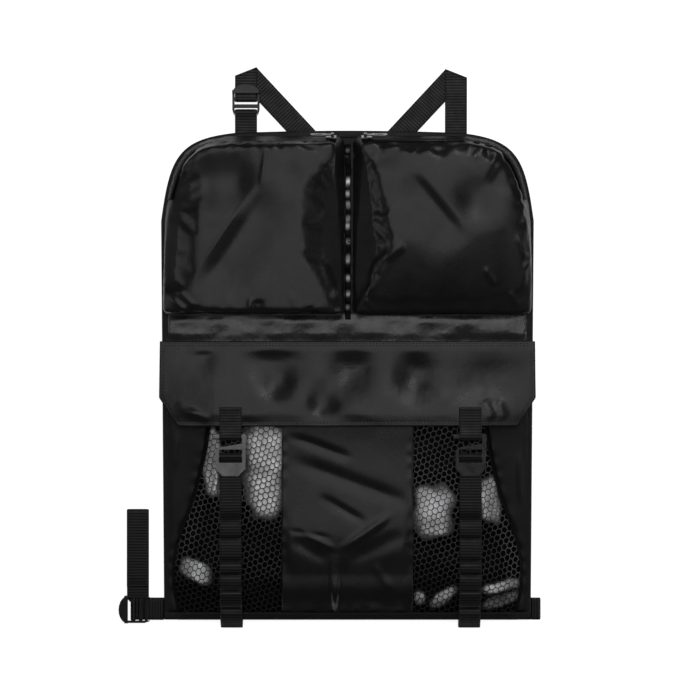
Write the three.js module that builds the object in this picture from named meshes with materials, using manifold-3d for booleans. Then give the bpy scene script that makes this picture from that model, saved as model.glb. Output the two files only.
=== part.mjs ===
// Car seat storage bag, lying on its back: +X right, +Y up the bag, +Z out of its front.
// All sizes are in millimetres. The origin is the centre of the panel's underside.
import * as THREE from "three";
import { mergeVertices } from "three/addons/utils/BufferGeometryUtils.js";
import Module from "manifold-3d";

const wasm = await Module();
wasm.setup();

// Panel
const PANEL_WIDTH = 424;
const PANEL_FOOT_WIDTH = 417;
const PANEL_HEIGHT = 556;
const PANEL_THICKNESS = 5;
const CORNER_REACH_ACROSS = 84;
const CORNER_REACH_DOWN = 103;
const TOP_CROWN = 2.5;
const FOOT_CORNER = 6;
const BINDING_WIDTH = 10;
const CLOTH = 1;
const SEAT_GAP = 0.3;

// Pouches
const POUCH_HEIGHT = 204;
const POUCH_TOP_MARGIN = 6.5;
const POUCH_SIDE_MARGIN = 3.5;
const POUCH_SPLIT = 1.7;
const POUCH_SPACING = 9.2;
const POUCH_DEPTH = 20;
const POUCH_CROWN = 9;
const POUCH_CORNER = 9;
const POUCH_LEAN_TOP = 11;
const POUCH_LEAN_FOOT = 1.5;

// Zips
const TAPE_LOW = 0.2;
const TAPE_HIGH = 0.86;
const TAPE_THICKNESS = 0.9;
const COIL_HEIGHT = 1.4;
const SLIDER_LENGTH = 12;
const SLIDER_WIDTH = 9;
const SLIDER_THICKNESS = 2;
const PIN_RADIUS = 0.8;
const PULL_LENGTH = 25;
const PULL_WIDTH = 6;
const PULL_THICKNESS = 1.2;
const RUNNING_GAP = 0.35;
const SLIDER_FROM_END = 6.5;

// Lower pocket and flap
const STRIP_HEIGHT = 29;
const FLAP_LENGTH = 96;
const FLAP_THICKNESS = 1.6;
const FLAP_CHAMFER_ACROSS = 22;
const FLAP_CHAMFER_DOWN = 32;
const FLAP_OVERHANG = 1;
const POCKET_DEPTH = 14;
const RIM_DROP = 26.5;
const MOUTH_PRESS = 0.9;
const POCKET_FOOT_FALL = 48;
const WALL_SIDE_FALL = 34;
const CENTRE_HALF_WIDTH = 74;
const HEM_HEIGHT = 9;
const CELL_PITCH = 19;
const STRAND = 4;

// Webbing and hardware
const WEBBING_WIDTH = 25;
const WEBBING = 1.3;
const LAYER = WEBBING + SEAT_GAP;
const DRAPE_GAP = 0.8;
const HOOK_X = { left: -131.5, right: 138.5 };
const HOOK_BELOW_FLAP = 42.5;
const HOOK_WIDTH = 34;
const HOOK_WINDOW_TOP = 16.4;
const HOOK_BAR_Y = 9;
const HOOK_BAR_DEPTH = 5;
const LIP_TOP = 1.8;
const LIP_FOOT = -13.4;
const FINGER_Y = 31;
const FINGER_DEPTH = 6;
const BAR = 2.4;
const TAB_ON_FLAP = 21.5;
const HOOK_STRAP_RUN = 54;
const DAISY_START = 40;
const DAISY_LOOP = 9;
const LAST_TACK = 14;
const TACK_SHARES = [0.918, 0.727, 0.5, 0.355, 0.191, 0];
const TACK_SLACK = 2.2;
const LOCK_WIDTH = 31;
const LOCK_LENGTH = 35;
const TOP_FOLD_X = { left: -115.5, right: 123.5 };
const TOP_FOLD_RISE = { left: 67, right: 64.6 };
const TOP_SLANT = 47;
const SEWN_DEPTH = 14;
const BOTTOM_STRAP_RISE = 12;
const BOTTOM_STUB = 11;
const LOCK_REACH = 33.4;
const TAIL_SHIFT = 3.5;
const TAIL_RISE = 112;
const TAIL_FOLD = 87;

// Heights of the stacked layers
const COATED_Z = PANEL_THICKNESS + SEAT_GAP;
const FRONT_Z = COATED_Z + CLOTH + SEAT_GAP;
const WALL_TOP_Z = FRONT_Z + POCKET_DEPTH + CLOTH;
const HALF_HEIGHT = PANEL_HEIGHT / 2;
const SHOULDER_Z = FRONT_Z + POUCH_DEPTH;
const POUCH_TOP_Y = HALF_HEIGHT - POUCH_TOP_MARGIN;
const POUCH_FOOT_Y = POUCH_TOP_Y - POUCH_HEIGHT;
const FLAP_SEAM_Y = POUCH_FOOT_Y - STRIP_HEIGHT;
const FLAP_FOOT_Y = FLAP_SEAM_Y - FLAP_LENGTH;
const POCKET_RIM_Y = FLAP_SEAM_Y - RIM_DROP;
const HOOK_Y = FLAP_FOOT_Y - HOOK_BELOW_FLAP;
const HOOK_STRAP_END_Y = HOOK_Y - HOOK_STRAP_RUN;
const BOTTOM_STRAP_Y = -HALF_HEIGHT + BOTTOM_STRAP_RISE;
const TOP_FOLD = {
  left: [TOP_FOLD_X.left, HALF_HEIGHT + TOP_FOLD_RISE.left],
  right: [TOP_FOLD_X.right, HALF_HEIGHT + TOP_FOLD_RISE.right],
};

const COLOURS = { satin: 0x2c2c2e, coated: 0x3a3a3c, webbing: 0x202021, net: 0x161617, steel: 0x67676a };
const satin = { color: COLOURS.satin, roughness: 0.5, metalness: 0 };
const coated = { color: COLOURS.coated, roughness: 0.25, metalness: 0 };
const webbing = { color: COLOURS.webbing, roughness: 0.8, metalness: 0 };
const net = { color: COLOURS.net, roughness: 0.7, metalness: 0 };
const steel = { color: COLOURS.steel, roughness: 0.35, metalness: 1 };
const plastic = { color: COLOURS.webbing, roughness: 0.4, metalness: 0 };

const bag = new THREE.Group();

const smooth = (from, to, value) => {
  const t = Math.min(1, Math.max(0, (value - from) / (to - from)));
  return t * t * (3 - 2 * t);
};

// Solids: joined and cut by the boolean library
function toSolid(geometry) {
  const bare = geometry.index ? geometry.clone() : geometry;
  bare.deleteAttribute("normal");
  bare.deleteAttribute("uv");
  const merged = mergeVertices(bare, 1e-4);
  const vertProperties = new Float32Array(merged.attributes.position.array);
  const triVerts = new Uint32Array(merged.index.array);
  return new wasm.Manifold(new wasm.Mesh({ numProp: 3, vertProperties, triVerts }));
}

function toGeometry(solid) {
  const mesh = solid.getMesh();
  const geometry = new THREE.BufferGeometry();
  geometry.setAttribute("position", new THREE.BufferAttribute(mesh.vertProperties, 3));
  geometry.setIndex(new THREE.BufferAttribute(mesh.triVerts, 1));
  return geometry;
}

function join(...geometries) {
  const [first, ...rest] = geometries.map(toSolid);
  return toGeometry(rest.reduce((sum, solid) => sum.add(solid), first));
}

function cut(geometry, ...tools) {
  return toGeometry(tools.reduce((rest, tool) => rest.subtract(toSolid(tool)), toSolid(geometry)));
}

function addMesh(name, geometry, material, parent = bag) {
  geometry.deleteAttribute("normal");
  geometry.computeVertexNormals();
  const mesh = new THREE.Mesh(geometry, new THREE.MeshStandardMaterial(material));
  mesh.name = name;
  parent.add(mesh);
  return mesh;
}

// Outlines
function shapeOf(points) {
  return new THREE.Shape(points.map(([x, y]) => new THREE.Vector2(x, y)));
}

function prism(points, low, high) {
  const geometry = new THREE.ExtrudeGeometry(shapeOf(points), { depth: high - low, bevelEnabled: false });
  return geometry.translate(0, 0, low);
}

function block(x0, x1, y0, y1, z0, z1) {
  const geometry = new THREE.BoxGeometry(x1 - x0, y1 - y0, z1 - z0);
  return geometry.translate((x0 + x1) / 2, (y0 + y1) / 2, (z0 + z1) / 2);
}

function pathPoints(path, arcSegments, longest) {
  const rough = path.getPoints(arcSegments).map((p) => [p.x, p.y]);
  const points = [];
  rough.forEach((point, i) => {
    const next = rough[(i + 1) % rough.length];
    const length = Math.hypot(next[0] - point[0], next[1] - point[1]);
    if (length < 1e-6) return;
    const steps = Math.max(1, Math.ceil(length / longest));
    for (let k = 0; k < steps; k += 1) {
      const t = k / steps;
      points.push([point[0] + (next[0] - point[0]) * t, point[1] + (next[1] - point[1]) * t]);
    }
  });
  return points;
}

function outward(points, i) {
  const before = points[(i + points.length - 1) % points.length];
  const after = points[(i + 1) % points.length];
  const length = Math.hypot(after[0] - before[0], after[1] - before[1]);
  return [(after[1] - before[1]) / length, (before[0] - after[0]) / length];
}

// Panel outline, run anticlockwise from the lower left corner
const sideX = (y) => {
  const t = Math.min(1, Math.max(0, (y + HALF_HEIGHT) / (PANEL_HEIGHT - CORNER_REACH_DOWN)));
  return (PANEL_FOOT_WIDTH + (PANEL_WIDTH - PANEL_FOOT_WIDTH) * t) / 2;
};

const CORNER_STARTS = PANEL_WIDTH / 2 - CORNER_REACH_ACROSS;

function panelPath(margin) {
  const foot = sideX(-HALF_HEIGHT) - margin;
  const floor = -HALF_HEIGHT + margin;
  const edge = sideX(HALF_HEIGHT) - margin;
  const shoulder = HALF_HEIGHT - CORNER_REACH_DOWN;
  const top = HALF_HEIGHT - margin;
  const crowned = top - TOP_CROWN;
  const bends = [[edge - 9.6, top - 30], [edge - 19, top - 9.5]];
  const path = new THREE.Path();
  path.moveTo(-foot + FOOT_CORNER, floor);
  path.lineTo(foot - FOOT_CORNER, floor);
  path.quadraticCurveTo(foot, floor, foot, floor + FOOT_CORNER);
  path.lineTo(edge, shoulder);
  path.bezierCurveTo(...bends[0], ...bends[1], CORNER_STARTS, crowned);
  path.quadraticCurveTo(CORNER_STARTS / 2, top, 0, top);
  path.quadraticCurveTo(-CORNER_STARTS / 2, top, -CORNER_STARTS, crowned);
  path.bezierCurveTo(-bends[1][0], bends[1][1], -bends[0][0], bends[0][1], -edge, shoulder);
  path.lineTo(-foot, floor + FOOT_CORNER);
  path.quadraticCurveTo(-foot, floor, -foot + FOOT_CORNER, floor);
  return path;
}

const panelOutline = (margin) => pathPoints(panelPath(margin), 8, PANEL_HEIGHT);

// A sheet of cloth over a height function, on a grid of rows in Y and columns in X
function sheet(rows, columnsAt, height, thickness = CLOTH) {
  const columns = columnsAt(rows[0]).length;
  const positions = [];
  rows.forEach((y) => columnsAt(y).forEach((x) => positions.push(x, y, height(x, y))));
  const thick = typeof thickness === "function" ? thickness : () => thickness;
  rows.forEach((y) => columnsAt(y).forEach((x) => positions.push(x, y, height(x, y) + thick(x, y))));
  const layer = rows.length * columns;
  const at = (row, column) => row * columns + column;
  const triangles = [];
  for (let j = 0; j + 1 < rows.length; j += 1) {
    for (let i = 0; i + 1 < columns; i += 1) {
      const [a, b, c, d] = [at(j, i), at(j, i + 1), at(j + 1, i + 1), at(j + 1, i)];
      triangles.push(a, c, b, a, d, c);
      triangles.push(a + layer, b + layer, c + layer, a + layer, c + layer, d + layer);
    }
  }
  const rim = [];
  for (let i = 0; i < columns; i += 1) rim.push(at(0, i));
  for (let j = 1; j < rows.length; j += 1) rim.push(at(j, columns - 1));
  for (let i = columns - 2; i >= 0; i -= 1) rim.push(at(rows.length - 1, i));
  for (let j = rows.length - 2; j > 0; j -= 1) rim.push(at(j, 0));
  rim.forEach((a, k) => {
    const b = rim[(k + 1) % rim.length];
    triangles.push(a, b, b + layer, a, b + layer, a + layer);
  });
  return indexed(positions, triangles);
}

function indexed(positions, triangles) {
  const geometry = new THREE.BufferGeometry();
  geometry.setAttribute("position", new THREE.Float32BufferAttribute(positions, 3));
  geometry.setIndex(triangles);
  return geometry;
}

function steps(from, to, count) {
  return Array.from({ length: count + 1 }, (_, i) => from + ((to - from) * i) / count);
}

// Webbing: a side profile along a path of [run, height] points, drawn out to the webbing's width
function ribbonProfile(path, thickness) {
  const side = (sign) => path.map((point, i) => {
    const before = path[Math.max(0, i - 1)];
    const after = path[Math.min(path.length - 1, i + 1)];
    const length = Math.hypot(after[0] - before[0], after[1] - before[1]);
    const normal = [-(after[1] - before[1]) / length, (after[0] - before[0]) / length];
    return [point[0] + sign * normal[0] * thickness / 2, point[1] + sign * normal[1] * thickness / 2];
  });
  return [...side(1), ...side(-1).reverse()];
}

const ALONG_Y = new THREE.Matrix4().makeBasis(
  new THREE.Vector3(0, 1, 0), new THREE.Vector3(0, 0, 1), new THREE.Vector3(1, 0, 0));
const ALONG_X = new THREE.Matrix4().makeBasis(
  new THREE.Vector3(1, 0, 0), new THREE.Vector3(0, 0, 1), new THREE.Vector3(0, -1, 0));

function drawnOut(points, width, basis) {
  const geometry = new THREE.ExtrudeGeometry(shapeOf(points), { depth: width, bevelEnabled: false });
  return geometry.translate(0, 0, -width / 2).applyMatrix4(basis);
}

const ribbon = (path, basis) => drawnOut(ribbonProfile(path, WEBBING), WEBBING_WIDTH, basis);
const ribbonY = (path, x) => ribbon(path, ALONG_Y).translate(x, 0, 0);
const ribbonX = (path, y) => ribbon(path, ALONG_X).translate(0, y, 0);

// Half turn of a path round a bar, from angle to angle in degrees
function wrap(centre, radius, from, to, count = 6) {
  return steps(from, to, count).map((degrees) => {
    const angle = THREE.MathUtils.degToRad(degrees);
    return [centre[0] + radius * Math.cos(angle), centre[1] + radius * Math.sin(angle)];
  });
}

// Flat leg of webbing between two fold lines
function legOutline(from, fromFold, to, toFold, width, extra = 0) {
  const length = Math.hypot(to[0] - from[0], to[1] - from[1]);
  const along = [(to[0] - from[0]) / length, (to[1] - from[1]) / length];
  const corner = (centre, foldDegrees, side, shift) => {
    const fold = THREE.MathUtils.degToRad(foldDegrees);
    const direction = [Math.cos(fold), Math.sin(fold)];
    const across = direction[1] * along[0] - direction[0] * along[1];
    const reach = (side * width) / 2 / across;
    return [0, 1].map((axis) => centre[axis] + direction[axis] * reach + along[axis] * shift);
  };
  return [
    corner(from, fromFold, -1, -extra),
    corner(to, toFold, -1, extra),
    corner(to, toFold, 1, extra),
    corner(from, fromFold, 1, -extra),
  ];
}

// Rounded turn that joins two flat layers along a fold line; outwardDegrees points out of the fold
function foldTurn(centre, outwardDegrees, length, layer) {
  const middle = layer * LAYER + WEBBING + SEAT_GAP / 2;
  const outer = WEBBING + SEAT_GAP / 2;
  const inner = SEAT_GAP / 2;
  const bite = 0.6;
  const ring = [
    [-bite, outer],
    [-bite, inner],
    ...wrap([0, 0], inner, 90, -90, 2),
    [-bite, -inner],
    [-bite, -outer],
    ...wrap([0, 0], outer, -90, 90, 6),
  ];
  const turned = new THREE.Matrix4().makeRotationZ(THREE.MathUtils.degToRad(outwardDegrees));
  const geometry = drawnOut(ring.reverse(), length, ALONG_X);
  return geometry.applyMatrix4(turned).translate(centre[0], centre[1], middle);
}

// Back panel, binding and coated facing
const diagonal = (side) => {
  const [x, y] = TOP_FOLD[side];
  const sign = side === "left" ? 1 : -1;
  const radians = THREE.MathUtils.degToRad(TOP_SLANT);
  return { from: [x, y], along: [sign * Math.cos(radians), -Math.sin(radians)] };
};

function meetingPoint() {
  const a = diagonal("left");
  const b = diagonal("right");
  const cross = a.along[0] * b.along[1] - a.along[1] * b.along[0];
  const gap = [b.from[0] - a.from[0], b.from[1] - a.from[1]];
  const run = (gap[0] * b.along[1] - gap[1] * b.along[0]) / cross;
  return [a.from[0] + a.along[0] * run, a.from[1] + a.along[1] * run];
}

const MIDDLE_FOLD = meetingPoint();
const FOLD_LEAN = (90 - TOP_SLANT) / 2;

function legs(width, extra) {
  return {
    left: legOutline(TOP_FOLD.left, FOLD_LEAN, MIDDLE_FOLD, 0, width, extra),
    right: legOutline(MIDDLE_FOLD, 0, TOP_FOLD.right, -FOLD_LEAN, width, extra),
  };
}

function panelChannels() {
  const room = SEAT_GAP + 0.1;
  const wide = legs(WEBBING_WIDTH + 3, 3);
  const strapHalf = WEBBING_WIDTH / 2 + 1;
  const edge = PANEL_WIDTH;
  const slotHalf = WEBBING_WIDTH / 2 + SEAT_GAP;
  const slot = (x) => block(x - slotHalf, x + slotHalf, HALF_HEIGHT - TOP_CROWN - SEWN_DEPTH, HALF_HEIGHT + 1,
    SLOT_Z - WEBBING / 2 - SEAT_GAP, SLOT_Z + WEBBING / 2 + SEAT_GAP);
  return [
    prism(wide.left, -1, WEBBING + room),
    prism(wide.right, -1, LAYER + WEBBING + room),
    block(-edge, edge, BOTTOM_STRAP_Y - strapHalf, BOTTOM_STRAP_Y + strapHalf, -1, WEBBING + room),
    slot(TOP_FOLD.left[0]),
    slot(TOP_FOLD.right[0]),
  ];
}

const SLOT_Z = PANEL_THICKNESS / 2;

function buildPanel() {
  const body = prism(panelOutline(0), 0, PANEL_THICKNESS);
  addMesh("back_panel", cut(body, ...panelChannels()), satin);
  const outer = prism(panelOutline(0.2), COATED_Z, COATED_Z + CLOTH);
  const inner = prism(panelOutline(BINDING_WIDTH), COATED_Z - 1, COATED_Z + CLOTH + 1);
  addMesh("edge_binding", cut(outer, inner), webbing);
}

// Coated facing, wrinkled in the bare strip between the pouches and the flap
function wrinkle(x, y) {
  const above = smooth(FLAP_SEAM_Y, FLAP_SEAM_Y + 8, y);
  const below = 1 - smooth(POUCH_FOOT_Y - 9, POUCH_FOOT_Y - 1, y);
  const waves = Math.sin(x / 17 + Math.sin(x / 41) * 2 + y / 9) + 0.6 * Math.sin(x / 7.5 - y / 6);
  return above * below * Math.max(0, 0.9 + 0.7 * waves);
}

function buildCoatedPanel() {
  const outline = panelOutline(BINDING_WIDTH + SEAT_GAP);
  const strip = [FLAP_SEAM_Y + 1, POUCH_FOOT_Y - 1];
  const flat = prism(outline, COATED_Z, COATED_Z + CLOTH);
  const half = sideX(0) - BINDING_WIDTH - 3;
  const buried = CLOTH / 2;
  const relief = sheet(steps(strip[0], strip[1], 5), () => steps(-half, half, 40),
    () => COATED_Z + buried, (x, y) => CLOTH - buried + 0.05 + wrinkle(x, y));
  addMesh("coated_panel", join(flat, relief), coated);
}

// Pouches, written for the right side and mirrored for the left
const SIDES = { left: -1, right: 1 };
const pouchInner = (side) => (side < 0 ? POUCH_SPACING / 2 - POUCH_SPLIT : POUCH_SPACING / 2 + POUCH_SPLIT);

function pouchPath(side) {
  const inner = pouchInner(side);
  const foot = POUCH_FOOT_Y;
  const edge = sideX(HALF_HEIGHT) - POUCH_SIDE_MARGIN;
  const top = HALF_HEIGHT - POUCH_TOP_MARGIN;
  const shoulder = HALF_HEIGHT - CORNER_REACH_DOWN;
  const corner = POUCH_CORNER;
  const path = new THREE.Path();
  path.moveTo(inner + corner, foot);
  path.lineTo(edge - corner, foot);
  path.quadraticCurveTo(edge, foot, edge, foot + corner);
  path.lineTo(edge, shoulder);
  path.bezierCurveTo(edge - 9, top - 27, edge - 19, top - 4, PANEL_WIDTH / 2 - CORNER_REACH_ACROSS, top);
  path.lineTo(inner + corner, top);
  path.quadraticCurveTo(inner, top, inner, top - corner);
  path.lineTo(inner, foot + corner);
  path.quadraticCurveTo(inner, foot, inner + corner, foot);
  return path;
}

const POUCH_STEP = 24;
const pouchOutline = (side) => pathPoints(pouchPath(side), 6, POUCH_STEP);
const lean = (y) => POUCH_LEAN_FOOT
  + (POUCH_LEAN_TOP - POUCH_LEAN_FOOT) * smooth(POUCH_FOOT_Y + 42, POUCH_TOP_Y - 26, y);

// Point of the pouch's wall at outline index i, share 0 at the panel and 1 at the shoulder
function wallPoint(points, i, share, stand = 0) {
  const normal = outward(points, i);
  const [x, y] = points[i];
  const reach = lean(y);
  const slope = Math.hypot(reach, POUCH_DEPTH);
  const out = (stand * POUCH_DEPTH) / slope - reach * share;
  const z = FRONT_Z + POUCH_DEPTH * share + (stand * reach) / slope;
  return [x + normal[0] * out, y + normal[1] * out, z];
}

// Soft fold of a given height, centred at (x0, y0) and turned by degrees
function crease(x, y, [x0, y0, degrees, length, width, height]) {
  const angle = THREE.MathUtils.degToRad(degrees);
  const along = (x - x0) * Math.cos(angle) + (y - y0) * Math.sin(angle);
  const across = (y - y0) * Math.cos(angle) - (x - x0) * Math.sin(angle);
  return height * Math.exp(-((along / length) ** 2) - (across / width) ** 2);
}

// Folds of the fronts, in a frame from the pouch's outer foot corner: x inwards, y up
const POUCH_FOLDS = {
  left: [
    [76, 95, 125, 42, 8, 2.6],
    [66, 180, 72, 28, 9, 1.8],
    [142, 176, 62, 26, 9, 1.6],
    [22, 14, 150, 20, 5, 2],
  ],
  right: [
    [112, 128, 120, 40, 8, 2.6],
    [57, 165, 62, 40, 10, 2.2],
    [40, 90, 12, 46, 9, 1.6],
    [164, 92, 32, 20, 6, 1.8],
  ],
};

// Depth and edge of the gusset that sinks along the pouch's inner side, as [share of the height, reach]
const GUSSETS = {
  left: { sink: 8, fall: 30, edge: [[0, 3], [0.15, 19], [0.3, 32], [0.45, 38], [0.61, 30], [0.82, 4]] },
  right: { sink: 10, fall: 9, edge: [[0, 3], [0.2, 20], [0.36, 36], [0.61, 25], [0.75, 18], [0.93, 4]] },
};

function reachAt(edge, share) {
  const next = edge.findIndex(([at]) => at > share);
  if (next < 1) return edge.at(-1)[1];
  const [a, b] = [edge[next - 1], edge[next]];
  return a[1] + ((b[1] - a[1]) * (share - a[0])) / (b[0] - a[0]);
}

// The crown and folds rise from the shoulder, where rise is 0
function frontHeight(name, x, y, rise) {
  const inner = pouchInner(SIDES[name]);
  const edge = sideX(HALF_HEIGHT) - POUCH_SIDE_MARGIN;
  const u = Math.abs((2 * x - inner - edge) / (edge - inner));
  const v = Math.abs((2 * y - POUCH_TOP_Y - POUCH_FOOT_Y) / POUCH_HEIGHT);
  const crown = Math.max(0, 1 - u ** 2.6) * Math.max(0, 1 - v ** 2.4);
  const folds = POUCH_FOLDS[name].reduce((sum, fold) => sum + crease(edge - x, y - POUCH_FOOT_Y, fold), 0);
  const gusset = GUSSETS[name];
  const share = (y - POUCH_FOOT_Y) / POUCH_HEIGHT;
  const reach = reachAt(gusset.edge, share);
  const sunk = gusset.sink * smooth(inner + reach + 4, inner + reach - gusset.fall, x);
  return SHOULDER_Z + rise * (POUCH_CROWN * crown + folds * Math.min(1, 3 * crown)) - sunk;
}

const FRONT_RINGS = [0.97, 0.9, 0.8, 0.66, 0.5, 0.32, 0.15];

function pouchGeometry(name) {
  const points = pouchOutline(SIDES[name]);
  const count = points.length;
  const centre = points.reduce((sum, [x, y]) => [sum[0] + x / count, sum[1] + y / count], [0, 0]);
  const shoulder = points.map((_, i) => wallPoint(points, i, 1));
  const scaled = ([x, y], scale) => {
    const [px, py] = [centre[0] + (x - centre[0]) * scale, centre[1] + (y - centre[1]) * scale];
    return [px, py, frontHeight(name, px, py, smooth(1, 0.88, scale))];
  };
  const rings = [points.map((_, i) => wallPoint(points, i, 0))];
  [1, ...FRONT_RINGS].forEach((scale) => rings.push(shoulder.map((point) => scaled(point, scale))));
  const positions = rings.flat(2);
  const triangles = [];
  for (let ring = 0; ring + 1 < rings.length; ring += 1) {
    for (let i = 0; i < count; i += 1) {
      const a = ring * count + i;
      const b = ring * count + ((i + 1) % count);
      triangles.push(a, b, b + count, a, b + count, a + count);
    }
  }
  const top = positions.length / 3;
  positions.push(...scaled(centre, 0));
  positions.push(centre[0], centre[1], FRONT_Z);
  const last = (rings.length - 1) * count;
  for (let i = 0; i < count; i += 1) {
    const next = (i + 1) % count;
    triangles.push(last + i, last + next, top, next, i, top + 1);
  }
  return indexed(positions, triangles);
}

function mirrored(geometry, side) {
  if (side > 0) return geometry;
  geometry.scale(-1, 1, 1);
  const index = Array.from(geometry.index.array);
  for (let i = 0; i < index.length; i += 3) [index[i], index[i + 1]] = [index[i + 1], index[i]];
  geometry.setIndex(index);
  return geometry;
}

// Zip chain: tape with a raised coil, swept along the pouch's wall over the top and the outer corner
const COIL_MIDDLE = (TAPE_LOW + TAPE_HIGH) / 2;
const COIL_HALF = 0.11;
const CHAIN_END_Y = HALF_HEIGHT - CORNER_REACH_DOWN + 20;

function chainGeometry(side) {
  const points = pouchOutline(side);
  const inner = pouchInner(side) + POUCH_CORNER;
  const zipped = ([x, y]) => y > CHAIN_END_Y && x > inner - 0.5;
  const route = points.map((_, i) => i).filter((i) => zipped(points[i]));
  const base = SEAT_GAP + 0.1;
  const section = [
    [TAPE_LOW, base],
    [TAPE_HIGH, base],
    [TAPE_HIGH, base + TAPE_THICKNESS],
    [COIL_MIDDLE + COIL_HALF, base + TAPE_THICKNESS],
    [COIL_MIDDLE + COIL_HALF / 2, base + COIL_HEIGHT],
    [COIL_MIDDLE - COIL_HALF / 2, base + COIL_HEIGHT],
    [COIL_MIDDLE - COIL_HALF, base + TAPE_THICKNESS],
    [TAPE_LOW, base + TAPE_THICKNESS],
  ];
  const ringAt = (i) => section.map(([share, stand]) => wallPoint(points, i, share, stand));
  const positions = route.map(ringAt).flat(2);
  const size = section.length;
  const triangles = [];
  for (let ring = 0; ring + 1 < route.length; ring += 1) {
    for (let k = 0; k < size; k += 1) {
      const a = ring * size + k;
      const b = ring * size + ((k + 1) % size);
      triangles.push(a, b + size, a + size, a, b, b + size);
    }
  }
  const cap = [[0, 1, 2], [0, 2, 3], [0, 3, 6], [3, 4, 5], [3, 5, 6], [0, 6, 7]];
  const end = (route.length - 1) * size;
  cap.forEach(([a, b, c]) => triangles.push(a, c, b, end + a, end + b, end + c));
  return indexed(positions, triangles);
}

// Slider and pull, in a frame laid on the wall: x along the zip, y up the wall, z out of it
function ellipseOutline(cx, cy, rx, ry, count = 16) {
  return steps(0, 360 - 360 / count, count - 1).map((degrees) => {
    const angle = THREE.MathUtils.degToRad(degrees);
    return [cx + rx * Math.cos(angle), cy + ry * Math.sin(angle)];
  });
}

const PIN_HEIGHT = SLIDER_THICKNESS + PIN_RADIUS + RUNNING_GAP + 1.1;
const PIN_X = 1.5;
const EYE_RADIUS = PIN_RADIUS + RUNNING_GAP + 0.9;
const EYE_WIDTH = 3;

function rodAcross(radius, length, x, z) {
  const rod = new THREE.CylinderGeometry(radius, radius, length, 12);
  return rod.translate(x, 0, z);
}

function sliderGeometry() {
  const half = SLIDER_LENGTH / 2;
  const wing = SLIDER_WIDTH / 2;
  const plate = prism([
    [-half, -wing * 0.55], [-half * 0.3, -wing * 0.6], [half * 0.25, -wing], [half, -wing * 0.9],
    [half, wing * 0.9], [half * 0.25, wing], [-half * 0.3, wing * 0.6], [-half, wing * 0.55],
  ], 0, SLIDER_THICKNESS);
  const lugInner = EYE_WIDTH / 2 + RUNNING_GAP;
  const lugOuter = lugInner + 1;
  const lug = (from, to) => join(
    block(PIN_X - 1.6, PIN_X + 1.6, from, to, SLIDER_THICKNESS - 0.5, PIN_HEIGHT),
    rodAcross(1.6, to - from, PIN_X, PIN_HEIGHT).translate(0, (from + to) / 2, 0));
  return join(plate, lug(lugInner, lugOuter), lug(-lugOuter, -lugInner),
    rodAcross(PIN_RADIUS, 2 * lugInner + 0.4, PIN_X, PIN_HEIGHT));
}

// The pull's own origin is on its hinge line, and it lies along -x
function pullGeometry() {
  const half = PULL_WIDTH / 2;
  const neck = EYE_WIDTH / 2;
  const plate = prism([
    [-EYE_RADIUS * 0.8, -neck], [-EYE_RADIUS * 0.8, neck], [-6, neck], [-9, half],
    ...wrap([-PULL_LENGTH + half, 0], half, 90, 270, 8), [-9, -half], [-6, -neck],
  ].reverse(), -PULL_THICKNESS / 2, PULL_THICKNESS / 2);
  const window = prism(ellipseOutline(-PULL_LENGTH * 0.62, 0, 6, half * 0.45), -2, 2);
  const eye = rodAcross(EYE_RADIUS, EYE_WIDTH, 0, 0);
  const bore = rodAcross(PIN_RADIUS + RUNNING_GAP, EYE_WIDTH + 2, 0, 0);
  return cut(join(plate, eye), window, bore);
}

function zipHardware(side) {
  const reach = lean(HALF_HEIGHT);
  const slope = Math.atan2(POUCH_DEPTH, reach);
  const stand = SEAT_GAP + 0.1 + COIL_HEIGHT + RUNNING_GAP;
  const top = HALF_HEIGHT - POUCH_TOP_MARGIN;
  const y = top - reach * COIL_MIDDLE + stand * Math.sin(slope);
  const z = FRONT_Z + POUCH_DEPTH * COIL_MIDDLE + stand * Math.cos(slope);
  const seat = new THREE.Group();
  seat.position.set(side * (pouchInner(side) + POUCH_CORNER + SLIDER_FROM_END), y, z);
  seat.rotation.x = -slope;
  const turn = new THREE.Group();
  turn.rotation.z = side > 0 ? Math.PI : 0;
  seat.add(turn);
  bag.add(seat);
  return turn;
}

function buildPouch(name) {
  const side = SIDES[name];
  addMesh(`pouch_shell_${name}`, mirrored(pouchGeometry(name), side), satin);
  addMesh(`zip_chain_${name}`, mirrored(chainGeometry(side), side), webbing);
  const seat = zipHardware(side);
  addMesh(`zip_slider_${name}`, sliderGeometry(), steel, seat);
  const pull = addMesh(`zip_pull_${name}`, pullGeometry(), steel, seat);
  pull.position.set(PIN_X, 0, PIN_HEIGHT);
}

// Lower pocket: one wall of net, satin and net over a hollow, sewn down at its foot and sides.
// Its mouth lies nearly flat under the flap
const WALL_INSETS = [[0, 18.5], [0.152, 10.3], [0.3, 15.2], [0.51, 36.7], [0.755, 52.2], [1, 53.7]];
const WALL_EDGE_POINTS = new THREE.SplineCurve(WALL_INSETS.map(([share, inset]) => {
  const y = -HALF_HEIGHT + share * (POCKET_RIM_Y + HALF_HEIGHT);
  return new THREE.Vector2(y, sideX(y) - inset);
})).getPoints(60);
const RIM_EDGE_X = WALL_EDGE_POINTS.at(-1).y;
const FOOT_EDGE_X = WALL_EDGE_POINTS[0].y;

function wallEdge(y) {
  const after = WALL_EDGE_POINTS.findIndex((p) => p.x >= y);
  if (after < 0) return RIM_EDGE_X;
  if (after === 0) return FOOT_EDGE_X;
  const [a, b] = [WALL_EDGE_POINTS[after - 1], WALL_EDGE_POINTS[after]];
  return a.y + ((b.y - a.y) * (y - a.x)) / (b.x - a.x);
}

const STRAP_CLEAR_X = HOOK_X.right + WEBBING_WIDTH / 2 + 1.5;
const WALL_FOOT_Y = -HALF_HEIGHT + 3.5;

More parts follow.
